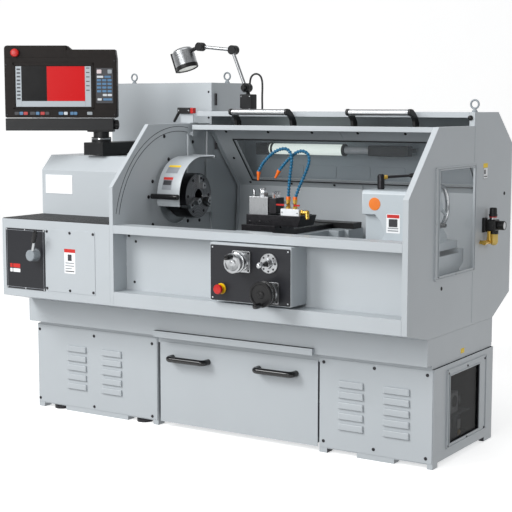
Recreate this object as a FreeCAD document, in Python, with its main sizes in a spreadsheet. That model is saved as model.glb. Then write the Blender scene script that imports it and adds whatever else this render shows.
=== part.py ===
import FreeCAD, Part
import math
import os
import re
import Sketcher

# A flat-bed turning lathe with a numerical control.  Two louvred cabinets carry a chip tray, and the tray
# carries the bed, the covered headstock, the folded enclosure with its roll-over door, the control box and
# the swinging control pendant.  X runs along the spindle towards the tailstock, Y to the rear and Z up.
# Every place below is first given from the machine's drawing datum; datum_x and datum_y then move the
# whole lathe so that the origin lies on the floor under the middle of its outline.

Vector = FreeCAD.Vector

DIMENSIONS = [
    ("datum_x", 2.35, "middle of the whole outline, along the spindle"),
    ("datum_y", -83.15, "middle of the whole outline, front to rear"),
    ("skin", 3, "thickness of the folded steel sheet"),
    ("gap", 0.3, "clearance between pieces that move past each other"),
    ("cabinet_top", 398, "height of the two cabinets"),
    ("cabinet_front", -302.5, "front of the cabinets behind their louvred panels"),
    ("cabinet_rear", 295, "rear of the cabinets"),
    ("left_cabinet_start", -1004, "outer end of the left cabinet"),
    ("left_cabinet_end", -299, "inner end of the left cabinet"),
    ("right_cabinet_start", 526, "inner end of the right cabinet"),
    ("right_cabinet_end", 1035, "outer end of the right cabinet"),
    ("foot_notch", 19, "height of the notches between the cabinet feet"),
    ("foot_radius", 36, "radius of a levelling foot"),
    ("foot_height", 14, "thickness of a levelling foot"),
    ("louvre_bottom", 24, "lower edge of the louvred panels"),
    ("louvre_reveal", 3, "strip of cabinet left above the louvred panels"),
    ("first_louvre", 84, "height of the lowest louvres above the panel's lower edge"),
    ("louvre_pitch", 44, "distance from one louvre to the next"),
    ("louvre_rows", 5, "louvres in each column"),
    ("louvre_depth", 8, "how far a louvre stands out of its panel"),
    ("louvre_height", 28, "height of one louvre"),
    ("tray_start", -1016, "left end of the chip tray"),
    ("enclosure_end", 1027, "right end of the chip tray and of the enclosure"),
    ("tray_front", -346, "front of the chip tray"),
    ("tray_rear", 299, "rear of the chip tray"),
    ("tray_bottom", 415, "underside of the chip tray"),
    ("trough", 20, "depth of the drip trough in front of the chip tray"),
    ("trough_top", 440, "top edge of the drip trough"),
    ("tray_top", 521, "rim of the chip tray"),
    ("bed_front", -224, "front of the bed"),
    ("bed_rear", 76, "rear of the bed"),
    ("bed_top", 837, "height of the guide ways"),
    ("bed_start", -700, "left end of the bed"),
    ("bed_end", 985, "right end of the bed"),
    ("bed_web", 40, "how far the bed's web stands back from its flanges"),
    ("spindle_y", -74, "spindle axis, front to rear"),
    ("spindle_z", 1015, "height of the spindle axis"),
    ("front", -531, "front plane of the enclosure"),
    ("apron_bottom", 563, "lower edge of the enclosure's front plane"),
    ("recess_bottom", 624, "lower edge of the recess in the front"),
    ("recess_top", 875, "upper edge of the recess in the front"),
    ("sill", 910, "top of the front rail, where the opening starts"),
    ("recess_face", -441, "rear face of the recess in the front"),
    ("shoulder", 1073, "height where the front of the end panels slopes back"),
    ("brow", -274, "where the slope reaches the roof"),
    ("roof", 1335, "height of the roof over the opening"),
    ("canopy_front", 70, "front of the raised rear canopy"),
    ("canopy_top", 1390, "top of the rear canopy"),
    ("canopy_rear", 322, "where the canopy slopes down to the back"),
    ("back", 484, "back plane of the enclosure"),
    ("back_top", 1257, "height where the back starts to slope"),
    ("back_bottom", 611, "height where the back turns in under the tray"),
    ("wall_start", -380, "outer face of the left end wall"),
    ("wall_end", -360, "inner face of the left end wall"),
    ("panel_start", 1003, "inner edge of the right end panel"),
    ("case_start", -999, "outer end of the gearbox case and the headstock cover"),
    ("case_rear", -250, "rear edge of the gearbox case"),
    ("cover_front", -258, "front of the headstock cover"),
    ("cover_shoulder", 1119, "height where the headstock cover slopes back"),
    ("cover_top", 1186, "top of the headstock cover"),
    ("selector_x", -795, "speed selector hub, along the spindle"),
    ("selector_z", 757, "height of the speed selector hub"),
    ("selector_radius", 27, "radius of the speed selector hub"),
    ("bar_opening", 45, "radius of the hole in the cover's end where bar stock enters the spindle"),
    ("cover_slope", 67, "run of the slope on the headstock cover"),
    ("electrical_start", -946, "left side of the electrical cabinet"),
    ("electrical_end", -350, "right side of the electrical cabinet"),
    ("electrical_front", 200, "front of the electrical cabinet"),
    ("electrical_rear", 527, "rear of the electrical cabinet"),
    ("electrical_top", 1523, "top of the electrical cabinet"),
    ("hinge_y", -58, "door hinge axis, front to rear"),
    ("hinge_z", 862, "height of the door hinge axis"),
    ("door_start", -342, "left edge of the door"),
    ("door_end", 998, "right edge of the door"),
    ("door_flange", 22, "depth of the door's folded edge flanges"),
    ("runner_reach", 432, "how far in front of the hinge the closed door's guide rollers lie"),
    ("runner_height", 68, "how far above the hinge the closed door's guide rollers lie"),
    ("door_open", 95, "angle of the open door behind its closed place"),
    ("window_inset", 76, "door window edge from the front corner, along the slope"),
    ("window_width", 237, "door window size along the slope"),
    ("window_margin", 105, "door window edge from each end of the door"),
    ("pane", 5, "thickness of the clear panes"),
    ("chuck_radius", 100, "radius of the chuck"),
    ("chuck_start", -335, "rear face of the chuck"),
    ("chuck_end", -235, "front face of the chuck"),
    ("spindle_bore", 27, "radius of the bore through the spindle and chuck"),
    ("spindle_radius", 60, "radius of the spindle in its bearings"),
    ("bearing_radius", 76, "outer radius of the spindle bearings"),
    ("bearing_width", 40, "width of one spindle bearing"),
    ("guard_radius", 175, "outer radius of the chuck guard"),
    ("guard_start", -335, "wall side of the chuck guard"),
    ("guard_end", -215, "tailstock side of the chuck guard"),
    ("guard_hinge_y", 26, "chuck guard hinge, front to rear"),
    ("jaw_width", 22, "width of a chuck jaw"),
    ("jaw_reach", 35, "how far the jaws stand out of the chuck"),
    ("carriage_x", 185, "middle of the carriage"),
    ("saddle_length", 250, "length of the saddle along the bed"),
    ("saddle_top", 868, "top of the saddle"),
    ("slide_width", 181, "width of the cross slide"),
    ("slide_front", -262, "front of the cross slide"),
    ("slide_top", 887, "top of the cross slide's way cover"),
    ("block_top", 916, "top of the block under the tool plate"),
    ("plate_top", 961, "top of the tool plate"),
    ("tool_front", -240, "front of the tool post"),
    ("tool_size", 92, "width of the square tool post"),
    ("hose_radius", 6.5, "radius of the segmented coolant hoses"),
    ("tool_top", 1036, "top of the tool post"),
    ("tailstock_start", 632, "nose of the tailstock body"),
    ("tailstock_end", 905, "rear of the tailstock body"),
    ("tailstock_half", 76, "half width of the tailstock body"),
    ("quill_radius", 37, "radius of the tailstock quill"),
    ("socket_radius", 12, "radius of the socket in the quill's nose"),
    ("socket_depth", 80, "depth of the socket in the quill's nose"),
    ("tail_screw_radius", 9, "radius of the screw that moves the quill"),
    ("tail_wheel_radius", 82, "radius of the tailstock handwheel"),
    ("box_start", 163, "left side of the control box"),
    ("box_end", 543, "right side of the control box"),
    ("box_front", -560, "front of the control box"),
    ("box_bottom", 636, "underside of the control box"),
    ("box_top", 871, "top of the control box"),
    ("flange_size", 85, "side of the square handwheel flanges"),
    ("boss_length", 30, "length of the handwheel bosses"),
    ("wheel_width", 36, "width of the handwheels"),
    ("crank_length", 56, "length of the handwheels' crank handles"),
    ("jog_pivot_radius", 11.7, "radius of the ball that the jog lever turns on"),
    ("drawer_start", -284, "left edge of the drawer front"),
    ("drawer_end", 519, "right edge of the drawer front"),
    ("drawer_top", 382, "top of the drawer front"),
    ("drawer_bottom", 22, "lower edge of the drawer front"),
    ("drawer_rear", 240, "rear of the drawer"),
    ("drawer_handle_z", 316, "height of the drawer handles"),
    ("handle_standoff", 42, "distance of a handle's grip from its panel"),
    ("pivot_x", -720, "pendant arm pivot, along the spindle"),
    ("pivot_y", -160, "pendant arm pivot, front to rear"),
    ("pendant_turn", 32.5, "how far the pendant is swung out towards the operator"),
    ("pendant_width", 512, "width of the pendant"),
    ("pendant_bottom", 1361, "underside of the pendant"),
    ("pendant_top", 1688, "top of the pendant"),
    ("lamp_x", -163, "work lamp base, along the spindle"),
    ("lamp_y", 228, "work lamp base, front to rear"),
    ("lead_radius", 4.5, "radius of the work lamp's lead"),
    ("tube_y", 384, "tube lamp axis, front to rear"),
    ("tube_z", 1214, "tube lamp axis height"),
    ("tube_radius", 28, "radius of the tube lamp"),
    ("side_window_front", -266, "front edge of the side window"),
    ("side_window_rear", 70, "rear edge of the side window"),
    ("side_window_bottom", 758, "lower edge of the side window"),
    ("side_window_top", 1170, "upper edge of the side window"),
    ("regulator_y", 210, "air regulator, front to rear"),
    ("regulator_z", 924, "height of the air regulator's body"),
    ("hatch_front", -157, "front edge of the cabinet window"),
    ("hatch_rear", 143, "rear edge of the cabinet window"),
    ("hatch_bottom", 74, "lower edge of the cabinet window"),
    ("hatch_top", 350, "upper edge of the cabinet window"),
]

doc = FreeCAD.newDocument("TurningLathe")
sheet = doc.addObject("Spreadsheet::Sheet", "Sizes")
size = {}
for row, (alias, value, meaning) in enumerate(DIMENSIONS, start=1):
    sheet.set(f"A{row}", meaning)
    sheet.set(f"B{row}", str(value))
    sheet.setAlias(f"B{row}", alias)
    size[alias] = value
doc.recompute()

# Where the helpers count places from: the datum, or the hinge of the door while the door is made.
MACHINE = ("datum_x", "datum_y", "0")
HINGE = ("0", "0", "0")
origin = MACHINE
nodes = []


def formula(text):
    """Turn words of the size table into cell references."""
    return re.sub(r"[a-z][a-z_]*", lambda word: f"Sizes.{word[0]}" if word[0] in size else word[0], text)


def bind(item, prop, text):
    item.setExpression(prop, formula(str(text)))


def place(item, x, y, z):
    """Bind a piece's place, counted from the current origin."""
    for letter, text, start in zip("xyz", (x, y, z), origin):
        bind(item, f"Placement.Base.{letter}", f"({text}) - ({start})")


def box(name, x, y, z):
    """A block between three pairs of limits."""
    item = doc.addObject("Part::Box", name)
    for prop, (low, high) in zip(("Length", "Width", "Height"), (x, y, z)):
        bind(item, prop, f"({high}) - ({low})")
    place(item, x[0], y[0], z[0])
    return item


AXES = {"X": FreeCAD.Rotation(Vector(0, 1, 0), 90), "Y": FreeCAD.Rotation(Vector(1, 0, 0), -90),
        "Z": FreeCAD.Rotation()}


def rod(name, axis, start, radius, length):
    """A cylinder along one axis from its start point."""
    item = doc.addObject("Part::Cylinder", name)
    bind(item, "Radius", radius)
    bind(item, "Height", length)
    item.Placement = FreeCAD.Placement(Vector(), AXES[axis])
    place(item, *start)
    return item


def tube(name, axis, start, radius, bore, length):
    """A ring or sleeve."""
    outer = rod(f"{name}_outer", axis, start, radius, length)
    inner = rod(f"{name}_bore", axis, start, bore, length)
    return cut(name, outer, [inner])


def fuse(name, pieces):
    item = doc.addObject("Part::MultiFuse", name)
    item.Shapes = pieces
    return item


def group(name, pieces):
    """Separate solids that belong to one sub-part."""
    item = doc.addObject("Part::Compound", name)
    item.Links = pieces
    return item


def cut(name, base, tools):
    item = doc.addObject("Part::Cut", name)
    item.Base = base
    item.Tool = tools[0] if len(tools) == 1 else fuse(f"{name}_tools", tools)
    return item


SKETCH_PLANES = {"YZ": "YZ_Plane", "XZ": "XZ_Plane", "XY": "XY_Plane"}


def draw(sketch, points, closed=True):
    """Straight lines through the points, each held by its two distances from the origin."""
    numbers = [(evaluate(u), evaluate(v)) for u, v in points]
    count = len(points)
    sides = count if closed else count - 1
    for index in range(sides):
        first = Vector(*numbers[index], 0)
        last = Vector(*numbers[(index + 1) % count], 0)
        sketch.addGeometry(Part.LineSegment(first, last))
    for index in range(sides):
        if closed or index < sides - 1:
            sketch.addConstraint(Sketcher.Constraint("Coincident", index, 2, (index + 1) % sides, 1))
    for index, (u, v) in enumerate(points):
        line, end = (index, 1) if index < sides else (sides - 1, 2)
        for kind, text, number in zip(("DistanceX", "DistanceY"), (u, v), numbers[index]):
            entry = sketch.addConstraint(Sketcher.Constraint(kind, -1, 1, line, end, number))
            bind(sketch, f"Constraints[{entry}]", text)


def evaluate(text):
    """The present number of a formula, for a sketch's first drawing."""
    plain = doc.addObject("App::FeaturePython", "Probe")
    plain.addProperty("App::PropertyFloat", "Number")
    bind(plain, "Number", text)
    doc.recompute([plain])
    number = plain.Number
    doc.removeObject(plain.Name)
    return number


def prism(name, plane, points, low, high):
    """A pad of a straight-sided outline, from low to high across the sketch plane."""
    body = doc.addObject("PartDesign::Body", name)
    sketch = body.newObject("Sketcher::SketchObject", f"{name}_outline")
    support = [part for part in body.Origin.OriginFeatures if part.Role == SKETCH_PLANES[plane]][0]
    sketch.AttachmentSupport = (support, "")
    sketch.MapMode = "FlatFace"
    bind(sketch, "AttachmentOffset.Base.z", f"-({high})" if plane == "XZ" else low)
    draw(sketch, points)
    pad = body.newObject("PartDesign::Pad", f"{name}_pad")
    pad.Profile = sketch
    bind(pad, "Length", f"({high}) - ({low})")
    for letter, start in zip("xyz", origin):
        bind(body, f"Placement.Base.{letter}", f"-({start})")
    return body


def turned(name, points, start):
    """A revolved outline of (length, radius) points about an axis along X from its start point."""
    body = doc.addObject("PartDesign::Body", name)
    sketch = body.newObject("Sketcher::SketchObject", f"{name}_outline")
    support = [part for part in body.Origin.OriginFeatures if part.Role == "XY_Plane"][0]
    sketch.AttachmentSupport = (support, "")
    sketch.MapMode = "FlatFace"
    draw(sketch, points)
    revolution = body.newObject("PartDesign::Revolution", f"{name}_revolution")
    revolution.Profile = sketch
    revolution.ReferenceAxis = (sketch, ["H_Axis"])
    revolution.Angle = 360
    place(body, *start)
    return body


def folded(name, points, low, high, thickness="skin"):
    """A sheet folded along X: an open outline in the YZ plane, thickened inwards and run from low to high."""
    sketch = doc.addObject("Sketcher::SketchObject", f"{name}_outline")
    sketch.Placement = FreeCAD.Placement(Vector(), FreeCAD.Rotation(Vector(1, 1, 1), 120))
    place(sketch, low, "0", "0")
    draw(sketch, points, closed=False)
    band = doc.addObject("Part::Offset2D", f"{name}_band")
    band.Source = sketch
    band.Value = 1
    band.Mode = "Skin"
    bind(band, "Value", thickness)
    band.Join = "Intersection"
    band.Fill = True
    item = doc.addObject("Part::Extrusion", name)
    item.Base = band
    item.DirMode = "Custom"
    item.Dir = Vector(1, 0, 0)
    item.Solid = True
    bind(item, "LengthFwd", f"({high}) - ({low})")
    return item


def made(name, shape):
    """A slanted or swept piece made directly, in machine places."""
    item = doc.addObject("Part::Feature", name)
    item.Shape = shape
    base = shape.Placement.Base
    place(item, f"{base.x:.4f}", f"{base.y:.4f}", f"{base.z:.4f}")
    return item


def node(label, item):
    """Register a finished sub-part under its own name."""
    item.Label = label
    nodes.append(item)
    return item


def shell_box(name, x, y, z, open_side, wall="skin"):
    """A sheet-metal box with one open side: 'top', 'rear' or 'none'."""
    outer = box(f"{name}_outer", x, y, z)
    top = f"({z[1]})" if open_side == "top" else f"({z[1]}) - {wall}"
    rear = f"({y[1]})" if open_side == "rear" else f"({y[1]}) - {wall}"
    inner = box(f"{name}_inner", (f"({x[0]}) + {wall}", f"({x[1]}) - {wall}"), (f"({y[0]}) + {wall}", rear),
                (f"({z[0]}) + {wall}", top))
    return cut(name, outer, [inner])


def bow_handle(name, x, face, z, standoff, radius):
    """A round grip along X on two posts that stand in front of a panel face."""
    grip = rod(f"{name}_grip", "X", (x[0], f"{face} - {standoff}", z), radius, f"({x[1]}) - ({x[0]})")
    posts = []
    for side, place_x in (("left", f"{x[0]} + {radius}"), ("right", f"{x[1]} - {radius}")):
        posts.append(rod(f"{name}_{side}_post", "Y", (place_x, f"{face} - {standoff}", z), radius, standoff))
    return fuse(name, [grip] + posts)


def build_cabinets():
    """The two cabinets, their louvred front panels and the levelling feet."""
    left = shell_box("left_shell", ("left_cabinet_start", "left_cabinet_end"), ("cabinet_front", "cabinet_rear"),
                     ("foot_notch", "cabinet_top"), "top")
    right = shell_box("right_shell", ("right_cabinet_start", "right_cabinet_end"),
                      ("cabinet_front", "cabinet_rear"), ("foot_notch", "cabinet_top"), "top")
    skirts = {"left": ((-1004, -969), (-838, -470), (-327, -299)), "right": ((526, 563), (700, 868), (1011, 1035))}
    ends = {"left": ("left_cabinet_start", "left_cabinet_end"), "right": ("right_cabinet_start", "right_cabinet_end")}
    feet = {"left": [], "right": []}
    for side, (outer_foot, middle_foot, inner_foot) in skirts.items():
        spans = ((ends[side][0], outer_foot[1]), middle_foot, (inner_foot[0], ends[side][1]))
        for index, (low, high) in enumerate(spans):
            for depth, (y_low, y_high) in (("front", ("cabinet_front", -255)), ("rear", (212, "cabinet_rear"))):
                feet[side].append(box(f"{side}_{depth}_foot_{index}", (low, high), (y_low, y_high),
                                      ("0", "foot_notch")))
    runner_z = ("196", "214")
    left_runner = box("left_runner", ("left_cabinet_end", "drawer_start + 12 - gap"), (-280, 270), runner_z)
    right_runner = box("right_runner", ("drawer_end - 12 + gap", "right_cabinet_start"), (-280, 270), runner_z)
    node("left_cabinet", fuse("left_cabinet", [left, left_runner] + feet["left"]))
    hatch = box("hatch_hole", ("right_cabinet_end - 2 * skin", "right_cabinet_end + skin"),
                ("hatch_front", "hatch_rear"), ("hatch_bottom", "hatch_top"))
    right_open = cut("right_open", right, [hatch])
    frame_outer = box("hatch_frame_outer", ("right_cabinet_end", "right_cabinet_end + skin"),
                      ("hatch_front - 23", "hatch_rear + 72"), ("hatch_bottom - 17", "hatch_top + 27"))
    frame_hole = box("hatch_frame_hole", ("right_cabinet_end", "right_cabinet_end + skin"),
                     ("hatch_front", "hatch_rear"), ("hatch_bottom", "hatch_top"))
    frame = cut("hatch_frame", frame_outer, [frame_hole])
    node("right_cabinet", fuse("right_cabinet", [right_open, right_runner, frame] + feet["right"]))

    panels = []
    columns = {"left": ((-817, -706), (-613, -500)), "right": ((618, 731), (821, 935))}
    for side, spans in columns.items():
        plate = box(f"{side}_panel_plate", (f"{ends[side][0]} + skin", f"{ends[side][1]} - skin"),
                    ("cabinet_front - skin", "cabinet_front"), ("louvre_bottom", "cabinet_top - louvre_reveal"))
        lips = []
        slots = []
        for column, (low, high) in enumerate(spans):
            for louvre in range(int(size["louvre_rows"])):
                bottom = f"(louvre_bottom + first_louvre + louvre_pitch * {louvre})"
                lip = prism(f"{side}_lip_{column}_{louvre}", "YZ",
                            [("cabinet_front - skin", bottom),
                             ("cabinet_front - skin", f"{bottom} + louvre_height"),
                             ("cabinet_front - skin - louvre_depth", f"{bottom} + 2"),
                             ("cabinet_front - skin - louvre_depth", bottom)], str(low), str(high))
                slot = prism(f"{side}_slot_{column}_{louvre}", "YZ",
                             [("cabinet_front + 1", f"{bottom} - 1"),
                              ("cabinet_front + 1", f"{bottom} + louvre_height - 7"),
                              ("cabinet_front - skin", f"{bottom} + louvre_height - 7"),
                              ("cabinet_front - skin - louvre_depth + 2", f"{bottom} + 2"),
                              ("cabinet_front - skin - louvre_depth + 2", f"{bottom} - 1")],
                             f"{low} + 3", f"{high} - 3")
                lips.append(lip)
                slots.append(slot)
        panels.append(cut(f"{side}_louvre_panel", fuse(f"{side}_louvre_blank", [plate] + lips), slots))
    node("louvre_panels", group("louvre_panels", panels))

    pads = []
    for index, (x, y) in enumerate([(-888, -268), (-400, -268), (-888, 255), (-400, 255), (630, -195),
                                    (940, -195), (630, 255), (940, 255)]):
        pad = rod(f"foot_pad_{index}", "Z", (str(x), str(y), "0"), "foot_radius", "foot_height")
        stud = rod(f"foot_stud_{index}", "Z", (str(x), str(y), "foot_height"), "8", "foot_notch - foot_height")
        pads.append(fuse(f"levelling_foot_{index}", [pad, stud]))
    node("levelling_feet", group("levelling_feet", pads))


def build_tray_and_bed():
    """The chip tray on the cabinets and the cast bed that stands in it."""
    tray = shell_box("tray_shell", ("tray_start", "enclosure_end"), ("tray_front", "tray_rear"),
                     ("tray_bottom", "tray_top"), "top")
    plinths = [box("left_plinth", ("left_cabinet_start + 20", "left_cabinet_end"),
                   ("cabinet_front - skin", "cabinet_rear"), ("cabinet_top", "tray_bottom")),
               box("right_plinth", ("right_cabinet_start", "enclosure_end"),
                   ("cabinet_front - skin", "cabinet_rear"), ("cabinet_top", "tray_bottom"))]
    header = box("drawer_header", ("left_cabinet_end + 1", "right_cabinet_start - 1"),
                 ("cabinet_front + skin", "cabinet_front + 2 * skin"), ("drawer_top - 6", "tray_bottom + 1"))
    trough = box("tray_trough_outer", ("drawer_start + 8", "drawer_end + 7"), ("tray_front - trough", "tray_front"),
                 ("tray_bottom - skin", "trough_top"))
    pocket = box("tray_trough_inner", ("drawer_start + 8 + skin", "drawer_end + 7 - skin"),
                 ("tray_front - trough + 2", "tray_front"), ("tray_bottom + 1", "trough_top"))
    node("chip_tray", fuse("chip_tray", [tray, cut("tray_trough", trough, [pocket]), header] + plinths))

    front = "bed_front"
    rear = "bed_rear"
    floor = "(tray_bottom + skin)"
    way = "bed_top"
    profile = [(front, floor), (rear, floor), (rear, f"{floor} + 45"), (f"{rear} - bed_web", f"{floor} + 65"),
               (f"{rear} - bed_web", f"{way} - 80"), (rear, f"{way} - 60"), (rear, way), (f"{rear} - 45", way),
               (f"{rear} - 45", f"{way} - 14"), (f"{front} + 60", f"{way} - 14"), (f"{front} + 45", f"{way} - 14"),
               (f"{front} + 30", way), (f"{front} + 15", f"{way} - 14"), (front, f"{way} - 14"),
               (front, f"{way} - 60"), (f"{front} + bed_web", f"{way} - 80"), (f"{front} + bed_web", f"{floor} + 65"),
               (front, f"{floor} + 45")]
    blank = prism("bed_casting", "YZ", profile, "bed_start", "bed_end")
    holes = []
    for index in range(4):
        low = f"(bed_start + 480 + {index} * 290)"
        holes.append(box(f"bed_window_{index}", (low, f"{low} + 170"), ("bed_front", "bed_rear"),
                         (f"{floor} + 120", f"{way} - 130")))
    node("bed", cut("bed", blank, holes))


def build_headstock():
    """The headstock casting, its bearings, the spindle and the chuck with its three jaws."""
    block = box("headstock_block", ("bed_start", "wall_start - gap"), ("bed_front", "bed_rear"),
                ("bed_top", "spindle_z + 130"))
    axis = ("bed_start", "spindle_y", "spindle_z")
    bore = rod("headstock_bore", "X", axis, "bearing_radius", "wall_start - bed_start")
    bearings = []
    for index, start in enumerate(("bed_start + 20", "wall_start - 30 - bearing_width")):
        bearings.append(tube(f"bearing_{index}", "X", (start, "spindle_y", "spindle_z"), "bearing_radius",
                             "spindle_radius + 0.05", "bearing_width"))
    node("headstock", group("headstock", [cut("headstock_casting", block, [bore])] + bearings))

    nose = "(chuck_start - bed_start + 90)"
    shaft = turned("spindle_shaft",
                   [("0", "spindle_bore"), (nose, "spindle_bore"), (nose, "85"), (f"{nose} - 22", "85"),
                    (f"{nose} - 22", "spindle_radius"), ("80", "spindle_radius"), ("80", "95"), ("70", "95"),
                    ("70", "90"), ("20", "90"), ("20", "95"), ("10", "95"), ("10", "45"), ("0", "45")],
                   ("bed_start - 90", "spindle_y", "spindle_z"))
    node("spindle", shaft)

    chuck = rod("chuck_cylinder", "X", ("chuck_start", "spindle_y", "spindle_z"), "chuck_radius",
                "chuck_end - chuck_start")
    tools = [rod("chuck_bore", "X", ("chuck_start", "spindle_y", "spindle_z"), "spindle_bore",
                 "chuck_end - chuck_start")]
    jaws = []
    for index in range(3):
        angle = 90 + 120 * index
        slot = doc.addObject("Part::Box", f"chuck_slot_{index}")
        bind(slot, "Length", "45")
        bind(slot, "Width", "chuck_radius")
        bind(slot, "Height", "jaw_width + 2 * gap")
        turn_radial(slot, angle, "chuck_end - 45 + 1", "0", "-(jaw_width / 2 + gap)")
        tools.append(slot)
        base = doc.addObject("Part::Box", f"jaw_base_{index}")
        bind(base, "Length", "44 - gap + 14")
        bind(base, "Width", "58")
        bind(base, "Height", "jaw_width")
        turn_radial(base, angle, "chuck_end - 44 + gap", "33", "-jaw_width / 2")
        tip = doc.addObject("Part::Box", f"jaw_tip_{index}")
        bind(tip, "Length", "jaw_reach")
        bind(tip, "Width", "26")
        bind(tip, "Height", "jaw_width")
        turn_radial(tip, angle, "chuck_end", "33", "-jaw_width / 2")
        jaws.append(fuse(f"chuck_jaw_{index + 1}", [base, tip]))
    node("chuck_body", cut("chuck_body", chuck, tools))
    for index, jaw in enumerate(jaws):
        node(f"chuck_jaw_{index + 1}", jaw)


def turn_radial(item, angle, x, out, side):
    """Lay a block with its width pointing outwards from the spindle axis at an angle about X."""
    item.Placement = FreeCAD.Placement(Vector(), FreeCAD.Rotation(Vector(1, 0, 0), angle))
    cosine = f"cos({angle})"
    sine = f"sin({angle})"
    place(item, x, f"spindle_y + ({out}) * {cosine} - ({side}) * {sine}",
          f"spindle_z + ({out}) * {sine} + ({side}) * {cosine}")


def build_left_side():
    """The gearbox case, the headstock cover and the electrical cabinet behind them."""
    outline = [("front", "apron_bottom"), ("tray_front", "tray_top"), ("case_rear", "tray_top"),
               ("case_rear", "sill + 1"), ("front", "sill + 1")]
    inner = [("front + skin", "apron_bottom + skin"), ("tray_front + skin", "tray_top + skin"),
             ("case_rear", "tray_top + skin"), ("case_rear", "sill + 1 - skin"),
             ("front + skin", "sill + 1 - skin")]
    outer_case = prism("case_outer", "YZ", outline, "case_start", "wall_start")
    inner_case = prism("case_inner", "YZ", inner, "case_start + skin", "wall_start - skin")
    node("gearbox_case", cut("gearbox_case", outer_case, [inner_case]))
    mat = box("rubber_mat", ("case_start + 3", "wall_start - 3"), ("front + 4", "cover_front - 3"),
              ("sill + 1", "sill + 4"))
    node("top_mat", mat)

    plates = [box("selector_plate", (-976, -745), ("front - skin", "front"), (597, 870)),
              box("service_cover", (-739, -460), ("front - 2", "front"), (600, 875)),
              box("cover_plate", (-976, -814), ("cover_front - 2", "cover_front"), (1010, 1097)),
              rod("selector_dial", "Y", ("selector_x", "front - skin - 1", "selector_z"), "selector_radius + 5", "1")]
    node("blank_plates", group("blank_plates", plates))

    bottom = "(sill + 1)"
    cover = folded("cover_sheet", [("cover_front", bottom), ("cover_front", "cover_shoulder"),
                                   ("cover_front + cover_slope", "cover_top"), ("electrical_front", "cover_top")],
                   "case_start + skin", "wall_start")
    end_outline = [("cover_front", bottom), ("cover_front", "cover_shoulder"),
                   ("cover_front + cover_slope", "cover_top"), ("electrical_front", "cover_top"),
                   ("electrical_front", "tray_top"), ("case_rear", "tray_top"), ("case_rear", bottom)]
    end = prism("cover_end", "YZ", end_outline, "case_start", "case_start + skin")
    bar_hole = rod("bar_hole", "X", ("case_start", "spindle_y", "spindle_z"), "bar_opening", "skin")
    node("headstock_cover", cut("headstock_cover", fuse("cover_blank", [cover, end]), [bar_hole]))

    electrical = shell_box("electrical_shell", ("electrical_start", "electrical_end"),
                           ("electrical_front", "electrical_rear"), ("tray_top", "electrical_top"), "none")
    node("electrical_cabinet", electrical)

    hub = rod("speed_hub", "Y", ("selector_x", "front - skin - 1 - gap - 42", "selector_z"), "selector_radius", "42")
    middle = Vector(size["selector_x"], size["front"], size["selector_z"])
    lever = made("speed_arm", slanted_rod(middle + Vector(0, -30, 0), middle + Vector(36, -52, 78), 8, 6))
    grip = made("speed_grip", slanted_rod(middle + Vector(26, -49, 60), middle + Vector(50, -58, 114), 9, 11))
    node("speed_lever", fuse("speed_lever", [hub, lever, grip]))


def slanted_rod(first, last, start_radius, end_radius=None):
    """A round bar between two points, tapered if it has two radii."""
    direction = last - first
    if end_radius is None or end_radius == start_radius:
        return Part.makeCylinder(start_radius, direction.Length, first, direction)
    return Part.makeCone(start_radius, end_radius, direction.Length, first, direction)


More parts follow.
